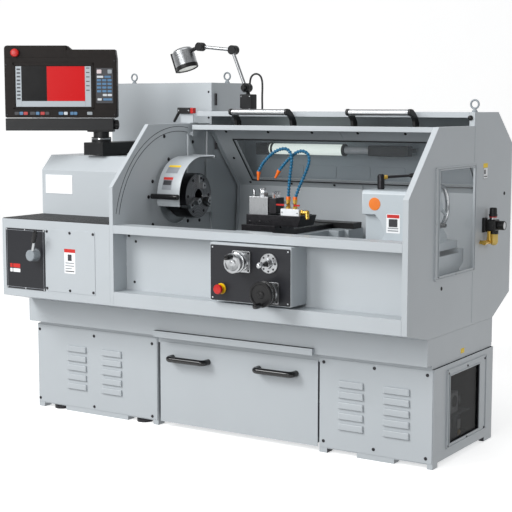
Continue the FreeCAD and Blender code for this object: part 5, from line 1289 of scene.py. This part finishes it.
class LATHE_OT_control_box(bpy.types.Operator):
    """The control box: its dark plate, two handwheels, jog lever and stop button"""
    bl_idname = "lathe.control_box"
    bl_label = "Control box"

    def execute(self, context):
        marks = context.scene.lathe_looks.dial_marks
        softened("control_box", "machine", [PAINT], None, 1.5)
        panel = Form()
        toward = (0, -1, 0)
        panel.use("dark anodised aluminium").slab(rounded((166, 639), (540, 863), 5), "XZ", CONTROL_FACE,
                                                  -560, 0.6)
        hex_screws(panel, [(x, CONTROL_FACE, z) for x, z in ((176, 649), (530, 649), (176, 853), (530, 853))],
                   toward, 3.2, 1.8, "white nylon")
        for x, z in ((317, 803), (449, 688)):
            panel.use(GROUND).slab(rounded((x - 42.5, z - 42.5), (x + 42.5, z + 42.5), 6), "XZ", -571,
                                   CONTROL_FACE, 1.2)
            panel.use("chromium plate").spun([(0, 0), (0, 34), (3, 35), (5, 33), (30, 33), (30, 0)],
                                             (x, -571, z), toward, 56)
            panel.use("dark vinyl label")
            for step in range(36):
                angle = math.tau * step / 36
                spot = Vector((x + 33 * math.cos(angle), -588, z + 33 * math.sin(angle)))
                turn = Matrix.Translation(spot) @ Matrix.Rotation(-angle, 4, "Y")
                panel.block((-0.3, -7, -0.6), (0.4, 7, 0.6), 0, 1, turn)
            hex_screws(panel, [(x + dx, -571, z + dz) for dx in (-35, 35) for dz in (-35, 35)], toward, 4.5,
                       2.5, BLACK_STEEL)
        panel.use(GROUND).spun([(0, 0), (0, 40), (4, 40), (6, 38), (6, 20), (10, 18), (16, 17), (16, 12.4),
                                (7, 12.4), (7, 0)], (444, CONTROL_FACE, 803), toward, 48)
        panel.use(BLACK_STEEL)
        for step in range(8):
            angle = math.tau * step / 8
            panel.rod((444 + 31 * math.cos(angle), -570.2, 803 + 31 * math.sin(angle)),
                      (444 + 31 * math.cos(angle), -568.4, 803 + 31 * math.sin(angle)), 4, None, 16)
        panel.use("yellow nylon").spun([(0, 9.2), (0, 22), (4, 22), (6, 20), (6, 9.2)],
                                       (219, CONTROL_FACE, 687), toward, 48)
        panel.finish("control_panel", "machine", ["control_plate"])

        z_wheel = Form()
        handwheel(z_wheel, Vector((317, -601.3, 803)), 40, GROUND, GROUND, marks, 78)
        z_wheel.finish("z_handwheel_finished", "z_wheel", ["z_handwheel"])
        x_wheel = Form()
        handwheel(x_wheel, Vector((449, -601.3, 688)), 51, NYLON, NYLON, marks, -80)
        x_wheel.finish("x_handwheel_finished", "x_wheel", ["x_handwheel"])

        jog = Form()
        jog.use("chromium plate").ball((444, -573, 803), 11.6)
        jog.use("moulded rubber").spun([(0, 0), (0, 10), (5, 10.4), (7, 9), (10, 9.8), (13, 8.4), (17, 9),
                                        (21, 7.8), (21, 0)], (444, -582, 803), (0, -1, 0), 24)
        jog.use("chromium plate").rod((444, -602, 803), (442, -622, 802), 5, None, 20)
        jog.use(GROUND).ball((442, -631, 802), 12.8)
        jog.finish("jog_lever_finished", "jog", ["jog_lever"])

        stop = Form()
        stop.use("red nylon").spun([(0, 0), (0, 19), (2, 20), (9, 20), (13, 17.5), (14, 12), (13.4, 0)],
                                   (219, -583, 687), (0, -1, 0), 40)
        stop.use(NYLON).rod((219, -569.6, 687), (219, -583.5, 687), 8.6, None, 24)
        stop.finish("panel_stop_finished", "panel_stop", ["panel_stop_button"])
        return {"FINISHED"}


class LATHE_OT_drawer(bpy.types.Operator):
    """The chip drawer with its painted front and two black bow handles"""
    bl_idname = "lathe.drawer"
    bl_label = "Chip drawer"

    def execute(self, context):
        def plate_only(form):
            grips = [face for face in form.bm.faces if face.calc_center_median().y < DRAWER_FACE - 0.1
                     or (len(face.verts) > 8 and abs(face.calc_center_median().z - 316) < 20)]
            bmesh.ops.delete(form.bm, geom=grips, context="FACES")
            rims = [edge for edge in form.bm.edges if len(edge.link_faces) == 1]
            for disc in bmesh.ops.holes_fill(form.bm, edges=rims, sides=0)["faces"]:
                disc.smooth = True

        softened("drawer", "chip_drawer", [PAINT], None, 1, 5, None, plate_only)
        grips = Form()
        grips.use("glossy black nylon")
        bend, thick, z = 18, 13, 316
        middle = DRAWER_FACE - 42
        for low, high in ((-228, -13), (220, 428)):
            left = arc((low + thick + bend, middle + bend), bend, 180, 270, 6)
            right = arc((high - thick - bend, middle + bend), bend, 270, 360, 6)
            line = [(low + thick, DRAWER_FACE)] + left + right + [(high - thick, DRAWER_FACE)]
            grips.tube([Vector((x, y, z)) for x, y in line[:-1]], thick)
            grips.rod((line[-2][0], line[-2][1], z), (line[-1][0], line[-1][1], z), thick, None, 24)
        grips.finish("drawer_handles", "chip_drawer")
        return {"FINISHED"}


# ---------------------------------------------------------------- pendant

class LATHE_OT_pendant(bpy.types.Operator):
    """The control pendant: its casing, screen, keypad, soft keys and stop button"""
    bl_idname = "lathe.pendant"
    bl_label = "Control pendant"

    def execute(self, context):
        casing = Form(PENDANT)
        left, right, low, high = -434, 78, 1361, 1688
        # The front ring around the screen, and the deep casing behind it.
        casing.use("textured ABS")
        corner = arc((left + 14, high - 14), 14, 90, 180, 5)
        outline = [(left, low + 6), (left + 6, low), (right - 6, low), (right, low + 6), (right, high - 60),
                   (right - 6, high - 18), (left + 305, high - 18), (left + 285, high)] + corner
        casing.slab(outline, "XZ", -37, 34, 5, 3)
        face = -44
        frame_rows = (((left + 2, low + 2), (right - 2, low + 40)),
                      ((left + 280, high - 55), (right - 4, high - 20)),
                      ((left + 2, low + 38), (left + 40, high - 53)),
                      ((left + 406, low + 38), (right - 2, high - 53)),
                      ((left + 38, high - 80), (left + 408, high - 53)))
        for (x_low, z_low), (x_high, z_high) in frame_rows:
            casing.block((x_low, face + 1, z_low), (x_high, -36, z_high), 2.5, 2)
        brow = [(left + 2, high - 55), (left + 284, high - 55), (left + 284, high - 3)]
        casing.slab(brow + arc((left + 15, high - 15), 12, 90, 180, 5), "XZ", face, -36, 2.5)
        # The bezel steps down to the glass.
        for (x_low, z_low), (x_high, z_high) in (((-397, 1401), (-25, 1409)), ((-397, 1596), (-25, 1610)),
                                                 ((-397, 1401), (-384, 1610)), ((-37, 1401), (-25, 1610))):
            casing.block((x_low, face - 1, z_low), (x_high, -36, z_high), 2, 2)
        casing.use("lit display black").block((-385, -42, 1408), (-36, -38, 1597), 0.4, 1)
        screens = Form(PENDANT)
        shown = -42.6
        for finish_name, x_low, x_high, z_low, z_high in (
                ("lit display grey", -382, -356, 1411, 1594), ("lit display grey", -66, -39, 1411, 1594),
                ("lit display red", -240, -66.5, 1437, 1594),
                ("lit display grey", -355.5, -66.5, 1411, 1436.5)):
            screens.use(finish_name).block((x_low, shown, z_low), (x_high, -41.8, z_high), 0.1, 1)
        screens.use("dark key")
        for step in range(9):
            z = 1444 + step * 16.6
            screens.block((-377, shown - 0.5, z), (-361, shown, z + 7), 0.1, 1)
        for step in range(6):
            z = 1584 - step * 20
            screens.block((-61, shown - 0.5, z), (-45, shown, z + 4), 0.1, 1)
        screens.finish("pendant_screen", "pendant_unit")

        keys = Form(PENDANT)
        keys.use("dark vinyl label").slab(rounded((-15, 1427), (62, 1586), 4), "XZ", face - 1.5, face + 1,
                                          0.8)
        white, blue = "light grey key", "steel blue key"
        thirds = ((-11, 8), (13, 32), (37, 56))
        # Each row's top, its height and its keys' sides and finishes.
        rows = [(1579, 18, ((-11, 10, "pink white key"), (38, 57, "grey nylon"))),
                (1551, 9.5, ((-11, 18, white), (23, 52, blue)))]
        rows += [(1536 - 16.6 * step, 10, [(low_x, high_x, blue) for low_x, high_x in thirds])
                 for step in range(4)]
        rows += [(1469, 10, ((15, 34, white), (37, 57, white))),
                 (1449, 10, ((-9, 10, white), (17, 57, blue)))]
        for top, height, places in rows:
            for low_x, high_x, finish_name in places:
                keys.use(finish_name).slab(rounded((low_x, top - height), (high_x, top), 2.5, 3), "XZ",
                                           face - 3.6, face - 1, 0.8)
        # The soft keys under the screen, in groups.
        for low_x, high_x, finish_name in (
                (-389, -369, "dark vinyl label"), (-367, -350, blue), (-348, -329, "dull red key"),
                (-319, -294, "dark vinyl label"), (-292, -276, blue), (-271, -252, "dull red key"),
                (-249, -231, "dark vinyl label"), (-188, -167, blue), (-164, -147, white), (-135, -120, blue),
                (-118, -103, blue), (-58, -34, "grey nylon")):
            keys.use(finish_name).slab(rounded((low_x, 1374), (high_x, 1388), 3, 3), "XZ", face - 2.6,
                                       face + 1, 0.7)
        keys.use(GROUND).block((left + 120, -30, low - 3), (right - 10, 20, low + 1), 1)
        hex_screws(keys, [(-424, face + 1, 1374), (68, face + 1, 1374), (-424, face + 1, 1600),
                          (70, face + 1, 1618)],
                   (0, -1, 0), 4, 2, BLACK_STEEL)
        keys.finish("pendant_keys", "pendant_unit")

        casing.use(ENAMEL).block((-200, -20, 1358.3), (-80, 20, 1363), 1)
        # Cooling slots on the back.
        casing.use("textured ABS")
        for step in range(9):
            casing.block((-300 + step * 16, 33, 1440), (-292 + step * 16, 36, 1590), 1)
        casing.finish("pendant_casing", "pendant_unit", ["pendant"])

        stop = Form(PENDANT)
        stop.use("red nylon").spun([(0, 0), (0, 18), (1, 19), (8, 19), (12.5, 16), (14, 10), (13.4, 0)],
                                   (-382, -50, 1654), (0, -1, 0), 40)
        stop.use(NYLON).rod((-382, -50.5, 1654), (-382, -36.5, 1654), 8.6, None, 24)
        stop.finish("pendant_stop_finished", "pendant_stop", ["pendant_stop_button"])
        return {"FINISHED"}


class LATHE_OT_pendant_arm(bpy.types.Operator):
    """The black swinging arm and the bracket that carries the pendant"""
    bl_idname = "lathe.pendant_arm"
    bl_label = "Pendant arm"

    def execute(self, context):
        softened("pendant_arm", "arm", [ENAMEL], None, 2.5, 8)
        softened("pendant_bracket", "machine", [ENAMEL], None, 2.5, 8)
        collar = Form()
        collar.use("chromium plate").spun([(0, 36.2), (0, 45.4), (5, 45.4), (7, 43), (7, 36.2)],
                                          (-720, -160, 1262), (0, 0, 1), 56)
        hex_screws(collar, [(-720 + dx, y, 1190) for dx in (-63, 63) for y in (-45, 105)], (0, 0, 1), 7, 4,
                   GROUND)
        collar.finish("bracket_collar", "machine")
        clamp = Form(PENDANT)
        clamp.use(NYLON)
        for z in (1318, 1340):
            clamp.spun([(0, 0), (0, 9), (3, 11), (17, 11), (21, 8), (22, 0)], (60, 0, z), (1, 0, 0), 24)
        clamp.block((60, -7, 1320), (78, 7, 1338), 2)
        clamp.finish("arm_fittings", "arm")
        return {"FINISHED"}


# ---------------------------------------------------------------- fittings

class LATHE_OT_work_lamp(bpy.types.Operator):
    """The jointed work lamp: its base, two arms with knobs and the round shade"""
    bl_idname = "lathe.work_lamp"
    bl_label = "Work lamp"

    def execute(self, context):
        across = Vector((0, -1, 0))
        base = Form()
        base.use(ENAMEL).block((-194, 202, 1390), (-132, 254, 1468), 4, 3)
        base.spun([(0, 0), (0, 11), (4, 9), (14, 9), (14, 0)], (-171, 238.3, 1468), (0, 0, 1), 24)
        base.spun([(0, 0), (0, 19), (2, 21), (18, 21), (20, 19), (20, 0)], (-171, 248.3, 1498), across, 32)
        base.spun([(0, 0), (0, 7), (6, 7), (9, 5.5), (14, 6.4), (18, 5.2), (22, 5), (22, 0)],
                  (-171, 254, 1486), (0, 0, 1), 20)
        hex_screws(base, [(-186, 202, z) for z in (1400, 1458)] + [(-140, 202, z) for z in (1400, 1458)],
                   across, 3.5, 2, GROUND)
        base.finish("lamp_base_finished", "machine", ["lamp_base"])

        knuckle, elbow, head = Vector((-171, 228, 1498)), Vector((-245, 228, 1672)), Vector((-431, 228, 1691))
        lower = Form()
        lower.use(GROUND).rod(knuckle + across * 10, elbow + across * 10, 8, None, 24)
        lower.use(ENAMEL)
        for place in (knuckle, elbow):
            lower.spun([(0, 0), (0, 20), (2, 21.5), (18, 21.5), (20, 20), (20, 0)], place, across, 32)
        lower.use(NYLON).spun([(0, 0), (0, 12), (2, 14), (12, 14), (16, 11), (16, 0)], knuckle + across * 20,
                              across, 9)
        lower.finish("lamp_lower_arm_finished", "lamp_lower", ["lamp_lower_arm"])
        upper = Form()
        upper.use(GROUND).rod(elbow - across * 10.3, head - across * 10.3, 8, None, 24)
        upper.use(ENAMEL)
        upper.spun([(0, 0), (0, 20), (2, 21.5), (18, 21.5), (20, 20), (20, 0)], elbow - across * 0.3, -across,
                   32)
        upper.spun([(0, 0), (0, 19), (2, 20.5), (18, 20.5), (20, 19), (20, 0)], head - across * 0.3, -across,
                   32)
        upper.finish("lamp_upper_arm_finished", "lamp_upper", ["lamp_upper_arm"])

        tilt = math.radians(20)
        down = Vector((math.sin(tilt), 0, -math.cos(tilt)))
        out = Vector((-math.cos(tilt), 0, -math.sin(tilt)))
        top = head + Vector((-14, -10, 22)) + out * 92
        shade = Form()
        shade.use(GROUND).spun([(0, 0), (0, 36), (3, 44), (9, 49), (16, 52), (84, 52.6), (84, 49.5), (18, 49),
                                (10, 44), (8, 0)], top, down, 56)
        for along in (26, 38, 50):
            shade.spun([(along, 51.5), (along + 1, 53), (along + 4, 53), (along + 5, 51.5)], top, down, 56)
        shade.use(NYLON).spun([(82, 49), (82, 53), (98, 53), (100, 51), (100, 46.5), (92, 46.5), (90, 49)],
                              top, down, 56)
        shade.use("lamp lens").spun([(92, 0), (92, 48), (95, 48), (96, 0)], top, down, 48)
        shade.use(ENAMEL).rod(head + across * 10, head + across * 10 + out * 46, 9, None, 24)
        shade.spun([(0, 0), (0, 18), (2, 20), (18, 20), (20, 18), (20, 0)], head, across, 32)
        lean = Matrix.Translation(top + out * 57 + down * 98) @ Matrix.Rotation(math.radians(-20), 4, "Y")
        shade.block((-5, -17, 0), (5, 17, 96), 2, 2, lean)
        shade.finish("lamp_head_finished", "lamp_shade", ["lamp_head"])
        return {"FINISHED"}


class LATHE_OT_interlock(bpy.types.Operator):
    """The door's interlock switch with its red end, and the lifting eyebolts"""
    bl_idname = "lathe.interlock"
    bl_label = "Interlock and eyebolts"

    def execute(self, context):
        switch = Form()
        switch.use(PAINT).block((-380, 40, 1335), (-360, 104, 1338), 0.6)
        switch.block((-430, 64, 1338), (-360, 68, 1379), 0.8)
        switch.use(NYLON).block((-440, 50, 1379), (-368, 78, 1407), 3, 3)
        switch.use("red nylon").block((-368, 51, 1380), (-352, 77, 1406), 3, 3)
        switch.use(ENAMEL).spun([(0, 0), (0, 6), (4, 7), (58, 6.4), (62, 4), (62, 0)], (-434, 64, 1393),
                                (-34, 0, -52), 20)
        hex_screws(switch, [(x, 50, 1393) for x in (-432, -376)], (0, -1, 0), 3.4, 1.6, GROUND)
        switch.finish("interlock_switch_finished", "machine", ["interlock_switch"])

        for index, (x, y, seat) in enumerate(((-930, 363, 1523), (-370, 363, 1523), (1014, 96, 1390))):
            bolt = Form()
            bolt.use("grey nylon").ring((x, y, seat + 32), (0, 1, 0), 17, 4.2, 36, 12)
            bolt.spun([(0, 0), (0, 12), (5, 12), (8, 9), (12, 7), (18, 6), (18, 0)], (x, y, seat), (0, 0, 1),
                      28)
            bolt.finish(f"eyebolt_{index + 1}", "machine", ["lifting_eyebolts"] if index == 0 else [])
        return {"FINISHED"}


class LATHE_OT_right_end(bpy.types.Operator):
    """The right end's window, screws, labels, pivot knob and cabinet window"""
    bl_idname = "lathe.right_end"
    bl_label = "Right end"

    def execute(self, context):
        # Panes below 400 mm take the smoked finish: a real tint, darkened further as painted shade of the
        # cabinet behind.
        softened("window_panes", "machine", ["clear polycarbonate", "smoked polycarbonate"],
                 lambda middle, direction: 1 if middle.z < 400 else 0, 0)
        out = Vector((1, 0, 0))
        fittings = Form()
        # Raised lips run round both windows' frames.
        fittings.use(PAINT)
        for face, y_low, y_high, z_low, z_high in ((1030, -301, 85, 745, 1181), (1030, -270, 74, 754, 1174),
                                                   (1038, -180, 215, 57, 377), (1038, -161, 147, 70, 354)):
            for y0, y1, z0, z1 in ((y_low, y_low + 5, z_low, z_high), (y_high - 5, y_high, z_low, z_high),
                                   (y_low, y_high, z_low, z_low + 5), (y_low, y_high, z_high - 5, z_high)):
                fittings.block((face - 1, y0, z0), (face + 3.5, y1, z1), 1.5, 2)
        corners = [(1030, y, z) for y in (-291, -100, 78) for z in (752, 964, 1176)]
        corners = [corner for corner in corners if not (corner[1] == -100 and corner[2] == 964)]
        hex_screws(fittings, corners, out, 4, 2.5, GROUND)
        cabinet = [(1038, y, z) for y, z in ((-168, 362), (20, 362), (200, 362), (-168, 66), (20, 66),
                                             (200, 66))]
        hex_screws(fittings, cabinet, out, 5, 3, BLACK_STEEL)
        hex_screws(fittings, [(RIGHT_FACE, y, z) for y, z in ((-229, 708), (402, 1044))], out, 8, 3, NYLON,
                   False)
        # The folded seam between the panel's two halves.
        fittings.use(PAINT)
        for low, high in ((1190, 1386), (530, 740)):
            fittings.block((RIGHT_FACE - 1, 73.5, low), (RIGHT_FACE + 1.2, 78.5, high), 0.6, 1)
        for name, low, high in (("yellow vinyl label", (167, 1162), (213, 1180)),
                                ("grey vinyl label", (167, 1116), (213, 1161)),
                                ("white vinyl label", (169, 1118), (211, 1160)),
                                ("dark vinyl label", (174, 1136), (190, 1154)),
                                ("dark vinyl label", (174, 1124), (206, 1128))):
            lift = 0.9 if name == "white vinyl label" else 1.3 if name == "dark vinyl label" else 0.5
            fittings.use(name).slab(rounded(low, high, 1.5), "YZ", RIGHT_FACE - 0.2, RIGHT_FACE + lift, 0, 1)
        fittings.use("yellow vinyl label").slab(rounded((-30, 418), (6, 438), 1.5), "YZ", RIGHT_FACE - 0.2,
                                                RIGHT_FACE + 0.5, 0, 1)
        fittings.finish("right_end_fittings", "machine")

        # The door's pivot knob at the top front corner, black with a domed end.
        knob = Form()
        knob.use(NYLON).spun([(0, 0), (0, 10), (3, 11), (10, 10), (13, 6), (13, 0)], (1008, 74, 1367),
                             (0, -1, 0), 32)
        knob.finish("pivot_knob", "machine")
        return {"FINISHED"}


class LATHE_OT_air_regulator(bpy.types.Operator):
    """The air filter and regulator: black body, clear bowl, gauge, knob and brass elbows"""
    bl_idname = "lathe.air_regulator"
    bl_label = "Air regulator"

    def execute(self, context):
        unit = Form()
        side, middle, height = RIGHT_FACE, 210, 924
        up = (0, 0, 1)
        unit.use(NYLON).block((side + 8, middle - 28, height - 24), (side + 52, middle + 22, height + 24), 6,
                              3)
        unit.block((side, middle - 46, height - 28), (side + 14, middle - 20, height + 32), 2.5)
        unit.use(GROUND).spun([(0, 0), (0, 15), (12, 15), (12, 0)], (side + 30, middle, height + 24), up, 28)
        unit.use("amber glass bowl").spun([(0, 0), (0, 7), (4, 13), (12, 17), (50, 17), (50, 0)],
                                          (side + 34, middle + 4, height - 84), up, 32)
        unit.use(NYLON).spun([(0, 0), (0, 18), (12, 18), (14, 16), (14, 0)],
                             (side + 34, middle + 4, height - 37), up, 32)
        unit.spun([(0, 0), (0, 17), (4, 19), (28, 19), (30, 17.5), (30, 16), (28, 16)],
                  (side + 52, middle, height), (1, 0, 0), 36)
        unit.use("white vinyl label").spun([(27.5, 0), (28, 16), (28.4, 0)], (side + 52, middle, height),
                                           (1, 0, 0), 32)
        unit.use("turned brass")
        unit.spun([(0, 0), (0, 9), (16, 9), (16, 7.5), (42, 7.5), (42, 0)],
                  (side + 22, middle - 24, height - 66), up, 6)
        unit.spun([(0, 0), (0, 10), (12, 10), (12, 8), (48, 8), (48, 10), (60, 10), (60, 0)],
                  (side + 22, middle - 74, height - 68), (0, 1, 0), 24)
        unit.spun([(0, 0), (0, 8), (22, 8), (22, 0)], (side, middle - 60, height - 68), (1, 0, 0), 24)
        unit.use("red nylon").spun([(0, 0), (0, 16.4), (4, 16.4), (4, 0)], (side + 30, middle, height + 32),
                                   up, 36)
        unit.finish("air_regulator_finished", "machine", ["air_regulator"])
        knob = Form()
        knob.use(NYLON).spun([(0, 0), (0, 17.5), (9, 18), (10, 16), (32, 15.5), (36, 13), (36, 0)],
                             (side + 30, middle, height + 36.3), up, 14)
        knob.finish("regulator_knob_finished", "knob", ["regulator_knob"])
        return {"FINISHED"}


class LATHE_OT_lubricator(bpy.types.Operator):
    """The lubricator behind the cabinet window: shelf, oil jar, pump head, gauge and bowl"""
    bl_idname = "lathe.lubricator"
    bl_label = "Lubricator"

    def execute(self, context):
        unit = Form()
        unit.use(ENAMEL).block((885, -120, 22), (1015, 110, 48), 1.5)
        unit.block((885, -120, 48), (889, 110, 330), 0.8)
        up, out = (0, 0, 1), (1, 0, 0)
        unit.use("light grey key").spun([(0, 0), (0, 38), (3, 41), (96, 41), (102, 36), (102, 0)],
                                        (955, -50, 48), up, 40)
        unit.use("yellow nylon").spun([(0, 0), (0, 32), (16, 32), (16, 0)], (955, -50, 150), up, 32)
        unit.use("light grey key").block((889, -62, 166), (999, 20, 254), 5, 3)
        unit.use("blue acetal").block((889, -100, 170), (996, -63, 250), 4, 3)
        unit.use("dark key").spun([(0, 0), (0, 24), (1.5, 24), (1.5, 0)], (999, -20, 216), out, 32)
        unit.use(NYLON).spun([(0, 0), (0, 22), (98, 22), (100, 20), (100, 17), (98, 17)], (889, 56, 212), out,
                             36)
        unit.use("grey vinyl label").spun([(97, 0), (98, 17), (98.4, 0)], (889, 56, 212), out, 32)
        unit.use("grey nylon").block((960, -70, 158), (1012, 106, 164), 1)
        unit.spun([(0, 0), (0, 26), (3, 29), (84, 29), (96, 20), (96, 0)], (955, 62, 48), up, 36)
        unit.use("white vinyl label").block((984, 48, 82), (986, 76, 122), 0.4, 1)
        unit.use("yellow nylon").spun([(0, 0), (0, 12), (4, 12), (4, 0)], (984, 62, 66), out, 24)
        unit.use(NYLON).spun([(0, 0), (0, 20), (12, 20), (14, 17), (14, 0)], (955, 62, 144), up, 28)
        unit.finish("lubricator_finished", "machine", ["lubricator"])
        return {"FINISHED"}


# ---------------------------------------------------------------- add-on

PIECES = (LATHE_OT_lamp_lead, LATHE_OT_cabinets, LATHE_OT_covers, LATHE_OT_speed_lever, LATHE_OT_enclosure,
          LATHE_OT_door, LATHE_OT_tube_lamp, LATHE_OT_bed, LATHE_OT_chuck, LATHE_OT_chuck_guard,
          LATHE_OT_carriage, LATHE_OT_coolant, LATHE_OT_tailstock, LATHE_OT_control_box, LATHE_OT_drawer,
          LATHE_OT_pendant, LATHE_OT_pendant_arm, LATHE_OT_work_lamp, LATHE_OT_interlock, LATHE_OT_right_end,
          LATHE_OT_air_regulator, LATHE_OT_lubricator)


class LATHE_OT_finishes(bpy.types.Operator):
    """Makes every finish of the machine"""
    bl_idname = "lathe.finishes"
    bl_label = "Finishes"

    def execute(self, context):
        make_materials()
        return {"FINISHED"}


class LATHE_PT_sidebar(bpy.types.Panel):
    """Lists the machine's settings and its pieces"""
    bl_label = "Turning Lathe"
    bl_idname = "LATHE_PT_sidebar"
    bl_space_type = "VIEW_3D"
    bl_region_type = "UI"
    bl_category = "Lathe"

    def draw(self, context):
        for settings in (context.scene.lathe_looks, context.scene.lathe_stage):
            column = self.layout.column()
            for name in settings.bl_rna.properties.keys():
                if name not in ("rna_type", "name"):
                    column.prop(settings, name)
        for piece in (LATHE_OT_finishes, LATHE_OT_stage) + PIECES:
            self.layout.operator(piece.bl_idname)


CLASSES = (LatheLooks, StageProperties, LATHE_OT_finishes, LATHE_OT_stage) + PIECES + (LATHE_PT_sidebar,)


def register():
    for item in CLASSES:
        bpy.utils.register_class(item)
    bpy.types.Scene.lathe_looks = PointerProperty(type=LatheLooks)
    bpy.types.Scene.lathe_stage = PointerProperty(type=StageProperties)


def unregister():
    del bpy.types.Scene.lathe_stage
    del bpy.types.Scene.lathe_looks
    for item in reversed(CLASSES):
        bpy.utils.unregister_class(item)


def main():
    register()
    for item in (LATHE_OT_finishes, LATHE_OT_stage) + PIECES:
        getattr(bpy.ops.lathe, item.bl_idname.split(".")[1])()


if __name__ == "__main__":
    main()
